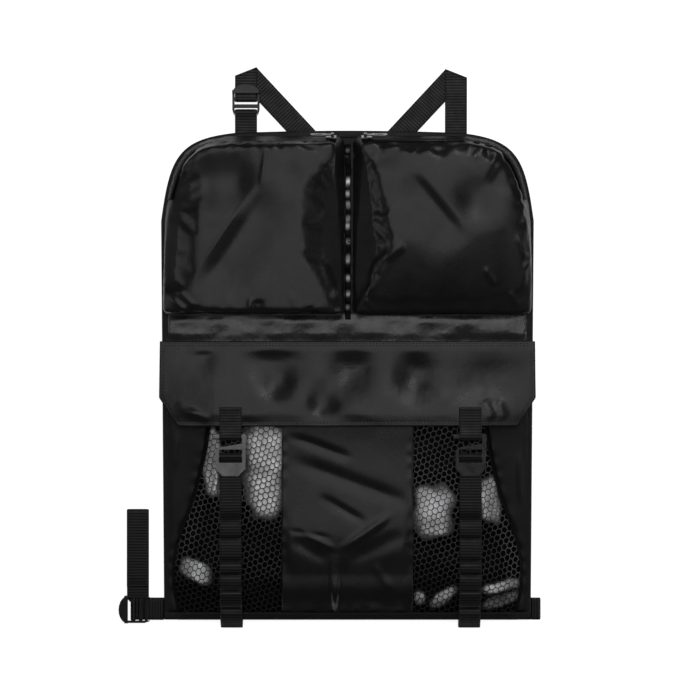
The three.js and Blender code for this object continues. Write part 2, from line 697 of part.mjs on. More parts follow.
function wallHeight(x, y) {
  const edge = wallEdge(y);
  const fall = Math.min(WALL_SIDE_FALL, Math.max(4, edge - STRAP_CLEAR_X));
  const side = Math.min(1, Math.max(0, (edge - Math.abs(x)) / fall));
  const foot = Math.min(1, Math.max(0, (y - WALL_FOOT_Y) / POCKET_FOOT_FALL));
  const mouth = 1 - MOUTH_PRESS * smooth(FLAP_FOOT_Y + TAB_ON_FLAP - 6, POCKET_RIM_Y, y);
  return FRONT_Z + POCKET_DEPTH * mouth * Math.sin((side * Math.PI) / 2) * Math.sin((foot * Math.PI) / 2);
}

// Creases of the middle, from the foot of the wall up
const CENTRE_FOLDS = [
  [-8, 48, 88, 36, 5, 3],
  [20, 138, 62, 60, 10, 2.2],
  [-34, 78, 128, 46, 9, 2.4],
  [42, 66, 40, 30, 8, 1.8],
];

function centreHeight(x, y) {
  const folds = CENTRE_FOLDS.reduce((sum, fold) => sum + crease(x, y + HALF_HEIGHT, fold), 0);
  const free = smooth(CENTRE_HALF_WIDTH, CENTRE_HALF_WIDTH - 14, Math.abs(x));
  const open = smooth(WALL_FOOT_Y + 4, WALL_FOOT_Y + 26, y) * smooth(FLAP_FOOT_Y - 4, FLAP_FOOT_Y - 28, y);
  return wallHeight(x, y) + folds * free * open;
}

function buildCentrePanel() {
  const half = CENTRE_HALF_WIDTH - SEAT_GAP;
  const columns = steps(-half, half, 20);
  const rows = [...steps(WALL_FOOT_Y, FLAP_FOOT_Y, 15), ...steps(FLAP_FOOT_Y, POCKET_RIM_Y, 4).slice(1)];
  addMesh("centre_pocket_panel", sheet(rows, () => columns, centreHeight), satin);
}

function hexagon(x, y, radius) {
  const hole = new THREE.Path();
  for (let k = 0; k < 6; k += 1) {
    const angle = (Math.PI / 3) * k;
    const [px, py] = [x + radius * Math.cos(angle), y + radius * Math.sin(angle)];
    if (k === 0) hole.moveTo(px, py);
    else hole.lineTo(px, py);
  }
  hole.closePath();
  return hole;
}

function netCells(low, high) {
  const cells = [];
  const stepX = (CELL_PITCH * Math.sqrt(3)) / 2;
  const radius = (CELL_PITCH - STRAND) / Math.sqrt(3);
  const first = CENTRE_HALF_WIDTH + STRAND + radius;
  for (let column = 0; first + column * stepX < PANEL_WIDTH / 2; column += 1) {
    const x = first + column * stepX;
    const shift = column % 2 === 0 ? 0 : CELL_PITCH / 2;
    for (let y = low + CELL_PITCH / 2 + shift; y + CELL_PITCH / 2 < high; y += CELL_PITCH) {
      const edge = Math.min(wallEdge(y), wallEdge(y - radius), wallEdge(y + radius));
      if (x + radius + STRAND < edge) cells.push(hexagon(x, y, radius));
    }
  }
  return cells;
}

// Net: cells up to the flap's foot, then a plain band under the flap
function netGeometry() {
  const inner = CENTRE_HALF_WIDTH + SEAT_GAP;
  const bandFoot = FLAP_FOOT_Y + STRAND;
  const fallTop = WALL_FOOT_Y + POCKET_FOOT_FALL;
  const rows = [...steps(WALL_FOOT_Y, fallTop, 5), ...steps(fallTop, bandFoot, 10).slice(1)];
  const columns = (y) => {
    const edge = wallEdge(y) - SEAT_GAP;
    const flat = Math.min(edge - 1, STRAP_CLEAR_X);
    return [inner, (inner + flat) / 2, ...steps(flat, edge, 4)];
  };
  const across = (xs, y) => xs.slice(1, -1).map((x) => [x, y]);
  const outline = [
    ...rows.map((y) => [wallEdge(y) - SEAT_GAP, y]),
    ...across(columns(bandFoot).reverse(), bandFoot),
    ...rows.slice().reverse().map((y) => [inner, y]),
    ...across(steps(inner, wallEdge(WALL_FOOT_Y) - SEAT_GAP, 3), WALL_FOOT_Y),
  ];
  const shape = shapeOf(outline);
  shape.holes = netCells(WALL_FOOT_Y + STRAND, bandFoot);
  const plate = new THREE.ExtrudeGeometry(shape, { depth: CLOTH, bevelEnabled: false });
  const cells = mergeVertices(strip(plate), 1e-3);
  const position = cells.attributes.position;
  for (let i = 0; i < position.count; i += 1) {
    position.setZ(i, position.getZ(i) + wallHeight(position.getX(i), position.getY(i)));
  }
  return join(cells, sheet(steps(bandFoot - 0.4, POCKET_RIM_Y, 5), columns, wallHeight));
}

function strip(geometry) {
  geometry.deleteAttribute("normal");
  geometry.deleteAttribute("uv");
  return geometry;
}

function sidePanelGeometry() {
  const outer = (y) => sideX(y) - BINDING_WIDTH * 0.55;
  const rows = steps(-HALF_HEIGHT + HEM_HEIGHT + 1, FLAP_SEAM_Y - 8, 16);
  return sheet(rows, (y) => [wallEdge(y) + SEAT_GAP + 0.3, outer(y)], () => FRONT_Z);
}

function hemGeometry() {
  const half = sideX(-HALF_HEIGHT) - 1;
  const low = -HALF_HEIGHT + 0.5;
  const high = WALL_FOOT_Y + 5;
  const middle = steps(-FOOT_EDGE_X - 1, FOOT_EDGE_X + 1, 12);
  const columns = [-half, -FOOT_EDGE_X - 5, ...middle, FOOT_EDGE_X + 5, half];
  const lift = (x, y) => (Math.abs(x) > FOOT_EDGE_X + 3 ? 0 : CLOTH + wallHeight(x, y) - FRONT_Z);
  return sheet(steps(low, high, 4), () => columns, (x, y) => FRONT_Z + SEAT_GAP + 0.2 + lift(x, y));
}

// Flap, draped from its seam over the pocket's rim and down at its sides
const FLAP_PLATEAU = WALL_TOP_Z + DRAPE_GAP;

function flapHeight(x, y) {
  const base = FRONT_Z + 0.1 + (CLOTH + SEAT_GAP) * (1 - smooth(FLAP_SEAM_Y - 7, FLAP_SEAM_Y - 1, y));
  const down = 1 - smooth(RIM_EDGE_X + 3, sideX(0) - 4, Math.abs(x));
  const over = 1 - smooth(FLAP_FOOT_Y + TAB_ON_FLAP, FLAP_SEAM_Y - 1, y);
  return base + (FLAP_PLATEAU - base) * down * over;
}

function flapColumns(y) {
  const rise = Math.max(0, FLAP_FOOT_Y + FLAP_CHAMFER_DOWN - y);
  const half = PANEL_WIDTH / 2 + FLAP_OVERHANG - (rise * FLAP_CHAMFER_ACROSS) / FLAP_CHAMFER_DOWN;
  const flat = RIM_EDGE_X + 3;
  return [...steps(-half, -flat, 4), ...steps(-flat, flat, 6).slice(1, -1), ...steps(flat, half, 4)];
}

function buildFlap() {
  const chamferTop = FLAP_FOOT_Y + FLAP_CHAMFER_DOWN;
  const rows = [...steps(FLAP_FOOT_Y, chamferTop, 3), ...steps(chamferTop, FLAP_SEAM_Y, 8).slice(1)];
  addMesh("flap", sheet(rows, flapColumns, flapHeight, FLAP_THICKNESS), satin);
}

// Hook: a moulded plate with a lip, a bar for the strap, a raised arm and a finger,
// z from its strap's underside
const HOOK_BAR_Z = WEBBING + SEAT_GAP + BAR / 2;

function barAcross(y, z, thickness, depth, length) {
  const r = thickness / 2;
  const d = depth / 2 - r;
  const outline = [...wrap([y + d, z], r, -90, 90), ...wrap([y - d, z], r, 90, 270)];
  return drawnOut(outline, length, ALONG_Y);
}

function hookGeometry() {
  const half = HOOK_WIDTH / 2;
  const inner = WEBBING_WIDTH / 2 + 0.5;
  const low = HOOK_BAR_Z - BAR / 2;
  const high = HOOK_BAR_Z + BAR / 2;
  const lipLow = 2 * LAYER + WEBBING * 0.25 + SEAT_GAP;
  const lipHigh = lipLow + BAR * 0.8;
  const frame = prism([
    [-half, LIP_FOOT + 7], [half, LIP_FOOT + 7], [half, HOOK_WINDOW_TOP], [half + 1, FINGER_Y - 4],
    ...wrap([half - 2.5, FINGER_Y], FINGER_DEPTH / 2 + 0.5, 0, 90, 5), [inner, FINGER_Y + 2],
    [inner, HOOK_WINDOW_TOP + 7], [-half + 3, HOOK_WINDOW_TOP + 2.2], [-half, HOOK_WINDOW_TOP - 1.5],
  ], low, high);
  const windowCut = block(-inner, inner, LIP_FOOT, HOOK_WINDOW_TOP, low - 1, high + 1);
  const lip = prism([
    [-half, LIP_TOP], [-half, LIP_FOOT + 8.4], [-half + 8, LIP_FOOT], [half - 8, LIP_FOOT],
    [half, LIP_FOOT + 8.4], [half, LIP_TOP],
  ], lipLow, lipHigh);
  const post = (side) => block(Math.min(side * half, side * inner), Math.max(side * half, side * inner),
    LIP_TOP - 6, LIP_TOP, low, lipHigh - 0.4);
  const finger = barAcross(FINGER_Y, HOOK_BAR_Z, BAR, FINGER_DEPTH, HOOK_WIDTH + 2);
  const bar = barAcross(HOOK_BAR_Y, HOOK_BAR_Z, BAR, HOOK_BAR_DEPTH, 2 * inner + 1);
  return join(cut(frame, windowCut), lip, post(1), post(-1), finger.translate(-1.5, 0, 0), bar);
}

const STRAP_Z = WALL_TOP_Z + DRAPE_GAP;

// Strap of the hook: up behind the lip, over the bar and back down to a tacked end
function hookStrapPath() {
  const bar = HOOK_Y + HOOK_BAR_Y;
  const lower = STRAP_Z + WEBBING / 2;
  const centreZ = STRAP_Z + HOOK_BAR_Z;
  const radius = centreZ - lower;
  const bend = (HOOK_BAR_DEPTH - BAR) / 2;
  return [
    [HOOK_STRAP_END_Y, lower],
    [bar - 2, lower],
    ...wrap([bar + bend, centreZ], radius, -90, 90, 6),
    [bar - bend - 0.4, centreZ + radius],
    [HOOK_Y + LIP_TOP + 0.8, lower + LAYER + 0.4],
    [HOOK_Y + LIP_TOP - 4, lower + LAYER],
    [HOOK_STRAP_END_Y, lower + LAYER],
  ];
}

// Loop of the flap: sewn on the flap, round the hook's finger and back to the flap's edge
function flapTabPath() {
  const finger = HOOK_Y + FINGER_Y;
  const lower = STRAP_Z + WEBBING / 2;
  const centreZ = STRAP_Z + HOOK_BAR_Z;
  const radius = centreZ - lower;
  const bend = (FINGER_DEPTH - BAR) / 2;
  const onFlap = FLAP_PLATEAU + FLAP_THICKNESS + SEAT_GAP + WEBBING / 2;
  return [
    [FLAP_FOOT_Y + TAB_ON_FLAP, onFlap],
    [FLAP_FOOT_Y - 1, onFlap + 0.3],
    [finger + bend + 1, centreZ + radius],
    ...wrap([finger - bend, centreZ], radius, 90, 270, 6),
    [finger + 3, lower],
    [FLAP_FOOT_Y - 1.2, lower],
  ];
}

// Tacked strap: follows the wall, with slack between the tacks, and a loop past the hem
function daisyPath() {
  const onWall = (y, slack) => [y, wallHeight(0, y) + CLOTH + DRAPE_GAP + WEBBING / 2 + slack];
  const hemTop = FRONT_Z + 2 * CLOTH + SEAT_GAP + 0.2;
  const foot = -HALF_HEIGHT + LAST_TACK;
  const tacks = TACK_SHARES.map((share) => foot + share * (HOOK_STRAP_END_Y - foot));
  const start = 2 * LAYER + 0.2;
  const path = [onWall(HOOK_Y - DAISY_START, start), onWall(HOOK_STRAP_END_Y, start)];
  tacks.forEach((tack, k) => {
    path.push(onWall(tack, 0.2));
    if (k + 1 < tacks.length) path.push(onWall((tack + tacks[k + 1]) / 2, TACK_SLACK));
  });
  const loopY = -HALF_HEIGHT - DAISY_LOOP + 2;
  const loopZ = PANEL_THICKNESS / 2 + WEBBING;
  path.push([WALL_FOOT_Y + 4, hemTop + WEBBING + 4.4]);
  path.push([-HALF_HEIGHT - 1, hemTop + WEBBING]);
  path.push(...wrap([loopY, loopZ], 2, 90, 270, 5));
  path.push([-HALF_HEIGHT - 0.6, loopZ - 2]);
  return path;
}

function buildHookLine(name) {
  const x = HOOK_X[name];
  addMesh(`hook_strap_${name}`, ribbonY(hookStrapPath(), x), webbing);
  addMesh(`flap_tab_${name}`, ribbonY(flapTabPath(), x), webbing);
  addMesh(`daisy_strap_${name}`, ribbonY(daisyPath(), x), webbing);
  const hook = addMesh(`g_hook_${name}`, hookGeometry(), name === "left" ? steel : plastic);
  hook.position.set(x, HOOK_Y, STRAP_Z);
}

// Ladder lock: side rails, a bar for the strap, a plain bar, a bar for the tab and a raised curved lip
const LOCK_BAR_Z = WEBBING + SEAT_GAP + BAR / 2;
const STRAP_BAR = 1;
const TAB_BAR = -13.5;

function lockGeometry() {
  const half = LOCK_WIDTH / 2;
  const end = LOCK_LENGTH / 2;
  const inner = WEBBING_WIDTH / 2 + 0.5;
  const low = LOCK_BAR_Z - BAR / 2;
  const high = LOCK_BAR_Z + BAR / 2;
  const lipLow = high + WEBBING + 2 * SEAT_GAP;
  const rails = prism([
    [-half + 2, -end], [half - 2, -end], [half, -end + 6], [half, 9], [half - 1.5, 12],
    [-half + 1.5, 12], [-half, 9], [-half, -end + 6],
  ], low, high);
  const opening = block(-inner, inner, -end - 1, 13, low - 1, high + 1);
  const lip = prism([[-half, 7], [half, 7], ...wrap([0, 7], half, 0, 180, 10).slice(1, -1)
    .map(([x, y]) => [x, 7 + (y - 7) * ((end - 7) / half)])], lipLow, lipLow + BAR * 0.8);
  const post = (side) => block(Math.min(side * half, side * inner), Math.max(side * half, side * inner),
    7, 11, low, lipLow + 1);
  return join(cut(rails, opening), lip, post(1), post(-1),
    barAcross(STRAP_BAR, LOCK_BAR_Z, BAR, 4.4, 2 * inner + 1),
    barAcross(-7, LOCK_BAR_Z, BAR, 4.4, 2 * inner + 1),
    barAcross(TAB_BAR, LOCK_BAR_Z, BAR, 3.4, 2 * inner + 1));
}

// Hairpin of webbing round a bar: long layer above, short layer below
function hairpin(bar, base, longEnd, shortEnd, longZ) {
  const centre = [bar, base + LOCK_BAR_Z];
  const radius = centre[1] - base - WEBBING / 2;
  return [
    longEnd,
    [bar - 7, longZ],
    [bar - 1.6, centre[1] + radius],
    ...wrap([bar + 0.5, centre[1]], radius, 90, -90, 6),
    [bar - 2, base + WEBBING / 2],
    shortEnd,
  ];
}

const TOP_LOCK_Y = HALF_HEIGHT + 35;

function buildTopStrap() {
  const [leftX, leftY] = TOP_FOLD.left;
  const [rightX, rightY] = TOP_FOLD.right;
  const flat = legs(WEBBING_WIDTH, 0);
  const foldWidth = WEBBING_WIDTH / Math.cos(THREE.MathUtils.degToRad(FOLD_LEAN));
  const middleWidth = WEBBING_WIDTH / Math.sin(THREE.MathUtils.degToRad(TOP_SLANT));
  const bar = TOP_LOCK_Y + STRAP_BAR;
  const centreZ = LOCK_BAR_Z;
  const radius = centreZ - WEBBING / 2;
  const lockRun = ribbonY([
    [leftY - 12, LAYER + WEBBING / 2],
    [TOP_LOCK_Y + 19, LAYER + WEBBING / 2],
    [TOP_LOCK_Y + 8, centreZ + radius - 0.3],
    [bar + 1.5, centreZ + radius],
    ...wrap([bar - 1, centreZ], radius, 90, 270, 6),
    [bar + 6, WEBBING / 2],
  ], leftX);
  const leftFlat = legOutline([leftX, leftY - 13], 0, [leftX, leftY], FOLD_LEAN, WEBBING_WIDTH);
  const rightFlat = legOutline([rightX, rightY], -FOLD_LEAN, [rightX, rightY - 13], 0, WEBBING_WIDTH);
  const top = 2 * LAYER + WEBBING / 2;
  const rightRun = ribbonY([
    [rightY - 12, top],
    [rightY - 26, top],
    [HALF_HEIGHT + 10, SLOT_Z],
    [HALF_HEIGHT - TOP_CROWN - SEWN_DEPTH + 1, SLOT_Z],
  ], rightX);
  const geometry = join(
    prism(flat.left, 0, WEBBING),
    prism(flat.right, LAYER, LAYER + WEBBING),
    foldTurn(MIDDLE_FOLD, -90, middleWidth, 0),
    prism(leftFlat, LAYER, LAYER + WEBBING),
    foldTurn(TOP_FOLD.left, 90 + FOLD_LEAN, foldWidth, 0),
    lockRun,
    prism(rightFlat, 2 * LAYER, 2 * LAYER + WEBBING),
    foldTurn(TOP_FOLD.right, 90 - FOLD_LEAN, foldWidth, 1),
    rightRun,
  );
  addMesh("top_strap", geometry, webbing);
  const lock = addMesh("top_ladder_lock", lockGeometry(), plastic);
  lock.position.set(leftX, TOP_LOCK_Y, 0);
  const tab = hairpin(TOP_LOCK_Y + TAB_BAR, 0, [HALF_HEIGHT - TOP_CROWN - SEWN_DEPTH + 1, SLOT_Z],
    [HALF_HEIGHT + 1.2, WEBBING / 2], 2 * LAYER);
  tab.splice(1, 0, [HALF_HEIGHT + 3, SLOT_Z]);
  addMesh("top_lock_tab", ribbonY(tab, leftX), webbing);
}

const BOTTOM_LOCK_X = -sideX(BOTTOM_STRAP_Y) - LOCK_REACH;
const TAIL_X = BOTTOM_LOCK_X + TAIL_SHIFT;
const TAIL_TOP_Y = BOTTOM_STRAP_Y + TAIL_RISE;
const TAIL_END_Y = TAIL_TOP_Y - TAIL_FOLD;
const LOCK_BASE = 2 * LAYER;

function buildBottomStrap() {
  const half = WEBBING_WIDTH / 2;
  const edge = sideX(BOTTOM_STRAP_Y);
  const stub = edge + BOTTOM_STUB;
  const turn = WEBBING / 2 + SEAT_GAP / 2;
  const run = ribbonX([
    [TAIL_X + half - 2, WEBBING / 2],
    [stub - turn, WEBBING / 2],
    ...wrap([stub - turn, WEBBING + SEAT_GAP / 2], turn, -90, 90, 6).slice(1),
    [edge + 0.8, LAYER + WEBBING / 2],
  ], BOTTOM_STRAP_Y);
  const corner = [
    [TAIL_X + half, BOTTOM_STRAP_Y - half], [TAIL_X + half, BOTTOM_STRAP_Y + half],
    [TAIL_X - half, BOTTOM_STRAP_Y + half],
  ];
  const foldLength = WEBBING_WIDTH * Math.SQRT2;
  const tail = [
    [TAIL_X + half, BOTTOM_STRAP_Y - half], [TAIL_X + half, TAIL_TOP_Y],
    [TAIL_X - half, TAIL_TOP_Y], [TAIL_X - half, BOTTOM_STRAP_Y + half],
  ];
  const topTurn = [
    [TAIL_END_Y, 2 * LAYER + WEBBING / 2],
    [TAIL_TOP_Y, 2 * LAYER + WEBBING / 2],
    ...wrap([TAIL_TOP_Y, LAYER + WEBBING + SEAT_GAP / 2], turn, 90, -90, 6).slice(1, -1),
    [TAIL_TOP_Y, LAYER + WEBBING / 2],
    [TAIL_TOP_Y - 4, LAYER + WEBBING / 2],
  ];
  const geometry = join(run, prism(corner, 0, WEBBING), prism(tail, LAYER, LAYER + WEBBING),
    foldTurn([TAIL_X, BOTTOM_STRAP_Y], -135, foldLength, 0), ribbonY(topTurn, TAIL_X));
  addMesh("bottom_strap", geometry, webbing);
  const lock = addMesh("bottom_ladder_lock", lockGeometry(), plastic);
  lock.rotation.z = Math.PI / 2;
  lock.position.set(BOTTOM_LOCK_X, BOTTOM_STRAP_Y, LOCK_BASE);
  buildBottomTab(edge);
}

// Tab of the lower lock: under the plain bars, round the strap's bar and back to the panel's edge
function buildBottomTab(edge) {
  const barX = BOTTOM_LOCK_X - STRAP_BAR;
  const centre = [barX, LOCK_BASE + LOCK_BAR_Z];
  const radius = centre[1] - LOCK_BASE - WEBBING / 2;
  const low = LOCK_BASE + WEBBING / 2;
  const path = [
    [-edge - 0.6, PANEL_THICKNESS - WEBBING / 2],
    [-edge - 8, low],
    [barX + 1, low],
    ...wrap([barX - 1, centre[1]], radius, 270, 90, 6),
    [barX + 2, centre[1] + radius - 0.2],
  ];
  addMesh("bottom_lock_tab", ribbonX(path.reverse(), BOTTOM_STRAP_Y), webbing);
}

buildPanel();
buildCoatedPanel();
buildPouch("left");
buildPouch("right");
buildCentrePanel();
addMesh("mesh_pocket_right", netGeometry(), net);
addMesh("mesh_pocket_left", mirrored(netGeometry(), -1), net);
addMesh("side_panel_right", sidePanelGeometry(), satin);
addMesh("side_panel_left", mirrored(sidePanelGeometry(), -1), satin);
addMesh("bottom_hem", hemGeometry(), webbing);
buildFlap();
buildHookLine("left");
buildHookLine("right");
buildTopStrap();
buildBottomStrap();

export default bag;
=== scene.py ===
import math

import bpy
import numpy as np
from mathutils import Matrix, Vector, geometry


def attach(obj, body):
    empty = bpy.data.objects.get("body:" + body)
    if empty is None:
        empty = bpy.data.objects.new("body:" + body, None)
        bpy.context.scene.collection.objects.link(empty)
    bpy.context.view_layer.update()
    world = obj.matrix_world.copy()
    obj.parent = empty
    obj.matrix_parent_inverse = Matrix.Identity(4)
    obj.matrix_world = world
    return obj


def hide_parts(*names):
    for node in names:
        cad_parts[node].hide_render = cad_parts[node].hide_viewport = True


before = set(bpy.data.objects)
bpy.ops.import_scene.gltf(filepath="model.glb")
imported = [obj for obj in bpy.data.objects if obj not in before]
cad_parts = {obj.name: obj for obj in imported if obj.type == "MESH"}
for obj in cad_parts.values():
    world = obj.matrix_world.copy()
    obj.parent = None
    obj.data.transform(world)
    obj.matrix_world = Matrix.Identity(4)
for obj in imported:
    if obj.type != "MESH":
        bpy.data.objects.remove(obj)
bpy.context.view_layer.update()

MM = 0.001
PIXEL, PHOTO_X, PHOTO_Y = 1.14, 347.5, 375.5
scene = bpy.context.scene

# Sizes shared with the CAD model, in millimetres
PANEL_WIDTH, PANEL_FOOT_WIDTH, PANEL_HEIGHT, PANEL_THICKNESS = 424, 417, 556, 5
CORNER_ACROSS, CORNER_DOWN, TOP_CROWN, FOOT_CORNER = 84, 103, 2.5, 6
BINDING_WIDTH, CLOTH, SEAT_GAP = 10, 1, 0.3
HALF_HEIGHT = PANEL_HEIGHT / 2
COATED_Z = PANEL_THICKNESS + SEAT_GAP
FRONT_Z = COATED_Z + CLOTH + SEAT_GAP
POUCH_TOP, POUCH_FOOT, POUCH_OUTER = 271.5, 67.5, 208.5
POUCH_INNER = {"left": -2.9, "right": 6.3}
POUCH_DEPTH, POUCH_CROWN, SHOULDER_Z = 20, 9, FRONT_Z + 20
FLAP_SEAM_Y, FLAP_FOOT_Y, FLAP_HALF, FLAP_CHAMFER = 38.5, -57.5, 213, (22, 32)
POCKET_DEPTH, POCKET_RIM_Y, WALL_FOOT_Y = 14, 12, -274.5
CENTRE_HALF = 74
WALL_TOP_Z = FRONT_Z + POCKET_DEPTH + CLOTH
WEBBING_WIDTH, WEBBING, LAYER, DRAPE_GAP = 25, 1.3, 1.6, 0.8
STRAP_Z = WALL_TOP_Z + DRAPE_GAP
HOOK_X, HOOK_Y, HOOK_BAR_Y, FINGER_Y = {"left": -131.5, "right": 138.5}, -100, 9, 31
BAR, HOOK_BAR_DEPTH, FINGER_DEPTH, LIP_TOP = 2.4, 5, 6, 1.8
BAR_Z = WEBBING + SEAT_GAP + BAR / 2
SIDES = {"left": -1, "right": 1}


# Helpers: shaping functions and meshes
def smooth(a, b, v):
    t = np.clip((np.asarray(v, float) - a) / (b - a), 0, 1)
    return t * t * (3 - 2 * t)


def at_pixel(px, py):
    return (px - PHOTO_X) * PIXEL, (PHOTO_Y - py) * PIXEL


def crease_axes(x, y, start, end):
    """Share along a line between two pixels, distance across it, and whether it runs to the right."""
    (x0, y0), (x1, y1) = at_pixel(*start), at_pixel(*end)
    length = math.hypot(x1 - x0, y1 - y0)
    dx, dy = (x1 - x0) / length, (y1 - y0) / length
    return ((x - x0) * dx + (y - y0) * dy) / length, (y - y0) * dx - (x - x0) * dy, dx > 0


def ridge(x, y, start, end, width, height):
    """A fold between two points in pixels of the photograph: soft across, faded at both ends."""
    along, across, _ = crease_axes(x, y, start, end)
    ends = smooth(-0.02, 0.3, along) * (1 - smooth(0.7, 1.02, along))
    return height * ends * np.exp(-((across / width) ** 2))


def hollow(x, y, left, right, top, low, depth, back=26):
    """A soft dip over pixel columns left to right: it falls from row top to row low and rises again below."""
    (x0, y0), (x1, y1) = at_pixel(left, top), at_pixel(right, low)
    middle, half = (x0 + x1) / 2, (x1 - x0) / 2
    across = np.exp(-(((x - middle) / half) ** 2))
    fall = smooth(y0, y1, y) * (1 - smooth(y1, y1 - back, y))
    return -depth * across * fall


def fallen(x, y, start, end, width, depth, recover):
    """A crease with one steep side: the cloth drops over the width and comes back slowly beyond it."""
    along, across, rightward = crease_axes(x, y, start, end)
    across = -across if rightward else across
    ends = smooth(-0.3, 0.18, along) * (1 - smooth(0.82, 1.3, along))
    drop = smooth(-width / 2, width / 2, across) * (1 - smooth(width / 2, width / 2 + recover, across))
    return -depth * ends * drop


def creased(x, y, folds=(), hollows=(), streaks=()):
    return (sum(ridge(x, y, *fold) for fold in folds) + sum(hollow(x, y, *dip) for dip in hollows)
            + sum(fallen(x, y, *streak) for streak in streaks))


def make(name, points, faces, material, nodes=(), body="bag", flat=False, tone=None):
    """A mesh object in metres from points in millimetres, riding on a body."""
    mesh = bpy.data.meshes.new(name)
    mesh.from_pydata([tuple(float(c) * MM for c in p) for p in points], [], [tuple(f) for f in faces])
    mesh.validate()
    mesh.update()
    obj = bpy.data.objects.new(name, mesh)
    scene.collection.objects.link(obj)
    mesh.materials.append(material)
    mesh.polygons.foreach_set("use_smooth", [not flat] * len(mesh.polygons))
    if tone is not None:
        mesh.attributes.new("tone", "FLOAT", "POINT").data.foreach_set("value", np.asarray(tone, float))
    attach(obj, body)
    if nodes:
        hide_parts(*nodes)
    return obj


class Parts:
    """Points and faces of several closed pieces that share one mesh."""

    def __init__(self):
        self.points, self.faces, self.tones = [], [], []

    def add(self, points, faces, tones=None):
        base = len(self.points)
        self.points.extend(points)
        self.tones.extend([0.5] * len(points) if tones is None else tones)
        self.faces.extend(tuple(i + base for i in f) for f in faces)

    def build(self, name, material, nodes=(), body="bag", flat=False):
        return make(name, self.points, self.faces, material, nodes, body, flat, self.tones)


def normals_of(grid):
    du = np.gradient(grid, axis=1)
    dv = np.gradient(grid, axis=0)
    n = np.cross(du, dv)
    return n / np.maximum(np.linalg.norm(n, axis=2, keepdims=True), 1e-9)


def shell(grid, thickness):
    """Closed sheet below a grid of top points, rows by columns, counterclockwise seen from above."""
    rows, cols = grid.shape[:2]
    lower = grid - normals_of(grid) * thickness
    points = np.concatenate([grid.reshape(-1, 3), lower.reshape(-1, 3)])
    n = rows * cols
    at = lambda j, i: j * cols + i
    faces = []
    for j in range(rows - 1):
        for i in range(cols - 1):
            a, b, c, d = at(j, i), at(j, i + 1), at(j + 1, i + 1), at(j + 1, i)
            faces.append((a, b, c, d))
            faces.append((d + n, c + n, b + n, a + n))
    rim = [at(0, i) for i in range(cols)] + [at(j, cols - 1) for j in range(1, rows)]
    rim += [at(rows - 1, i) for i in range(cols - 2, -1, -1)] + [at(j, 0) for j in range(rows - 2, 0, -1)]
    for k, a in enumerate(rim):
        b = rim[(k + 1) % len(rim)]
        faces.append((b, a, a + n, b + n))
    return [tuple(p) for p in points], faces


def doubled(faces, n):
    """The faces, the same ones turned over n points further on, and the rim that joins both layers."""
    out, edges = [], {}
    for f in faces:
        out += [f, tuple(i + n for i in reversed(f))]
        for pair in zip(f, f[1:] + f[:1]):
            edges[pair] = True
    return out + [(b, a, a + n, b + n) for a, b in edges if (b, a) not in edges]


def filled(outline, spacing, top, under):
    """A sheet inside an outline: interior points on a grid, a height function above and below."""
    pts = [Vector(p) for p in outline]
    edges = [(i, (i + 1) % len(outline)) for i in range(len(outline))]
    poly = np.array(outline)
    gx = np.arange(poly[:, 0].min(), poly[:, 0].max(), spacing)
    gy = np.arange(poly[:, 1].min(), poly[:, 1].max(), spacing * 0.87)
    for row, y in enumerate(gy):
        for x in gx + (spacing / 2 if row % 2 else 0):
            if inside(poly, x, y, spacing * 0.45):
                pts.append(Vector((x, y)))
    verts, _, faces, *_ = geometry.delaunay_2d_cdt(pts, edges, [], 1, 1e-4)
    xy = np.array([tuple(v) for v in verts])
    upper = np.column_stack([xy, top(xy[:, 0], xy[:, 1])])
    lower = np.column_stack([xy, under(xy[:, 0], xy[:, 1])])
    upward = []
    for f in faces:
        a, b, c = (xy[i] for i in f[:3])
        turns_left = (b[0] - a[0]) * (c[1] - a[1]) - (b[1] - a[1]) * (c[0] - a[0]) > 0
        upward.append(tuple(f) if turns_left else tuple(reversed(f)))
    return [tuple(p) for p in np.concatenate([upper, lower])], doubled(upward, len(xy))


def inside(poly, x, y, margin):
    x0, y0 = poly[:, 0], poly[:, 1]
    x1, y1 = np.roll(x0, -1), np.roll(y0, -1)
    cross = ((y0 > y) != (y1 > y)) & (x < (x1 - x0) * (y - y0) / np.where(y1 == y0, 1e-9, y1 - y0) + x0)
    if cross.sum() % 2 == 0:
        return False
    dx, dy = x1 - x0, y1 - y0
    t = np.clip(((x - x0) * dx + (y - y0) * dy) / np.maximum(dx * dx + dy * dy, 1e-9), 0, 1)
    return float(np.hypot(x0 + t * dx - x, y0 + t * dy - y).min()) > margin


def bezier(points, count):
    t = np.linspace(0, 1, count + 1)[:, None]
    p = [np.array(q, float) for q in points]
    if len(p) == 3:
        curve = (1 - t) ** 2 * p[0] + 2 * (1 - t) * t * p[1] + t ** 2 * p[2]
    else:
        curve = (1 - t) ** 3 * p[0] + 3 * (1 - t) ** 2 * t * p[1] + 3 * (1 - t) * t ** 2 * p[2] + t ** 3 * p[3]
    return [tuple(q) for q in curve]


def straight(a, b, step):
    count = max(1, round(math.hypot(b[0] - a[0], b[1] - a[1]) / step))
    return [tuple(np.array(a) + (np.array(b) - np.array(a)) * k / count) for k in range(count + 1)]


def cleaned(points):
    out = []
    for p in points:
        if not out or math.hypot(p[0] - out[-1][0], p[1] - out[-1][1]) > 1e-3:
            out.append(p)
    if math.hypot(out[0][0] - out[-1][0], out[0][1] - out[-1][1]) < 1e-3:
        out.pop()
    return out


def side_x(y):
    t = np.clip((np.asarray(y, float) + HALF_HEIGHT) / (PANEL_HEIGHT - CORNER_DOWN), 0, 1)
    return (PANEL_FOOT_WIDTH + (PANEL_WIDTH - PANEL_FOOT_WIDTH) * t) / 2


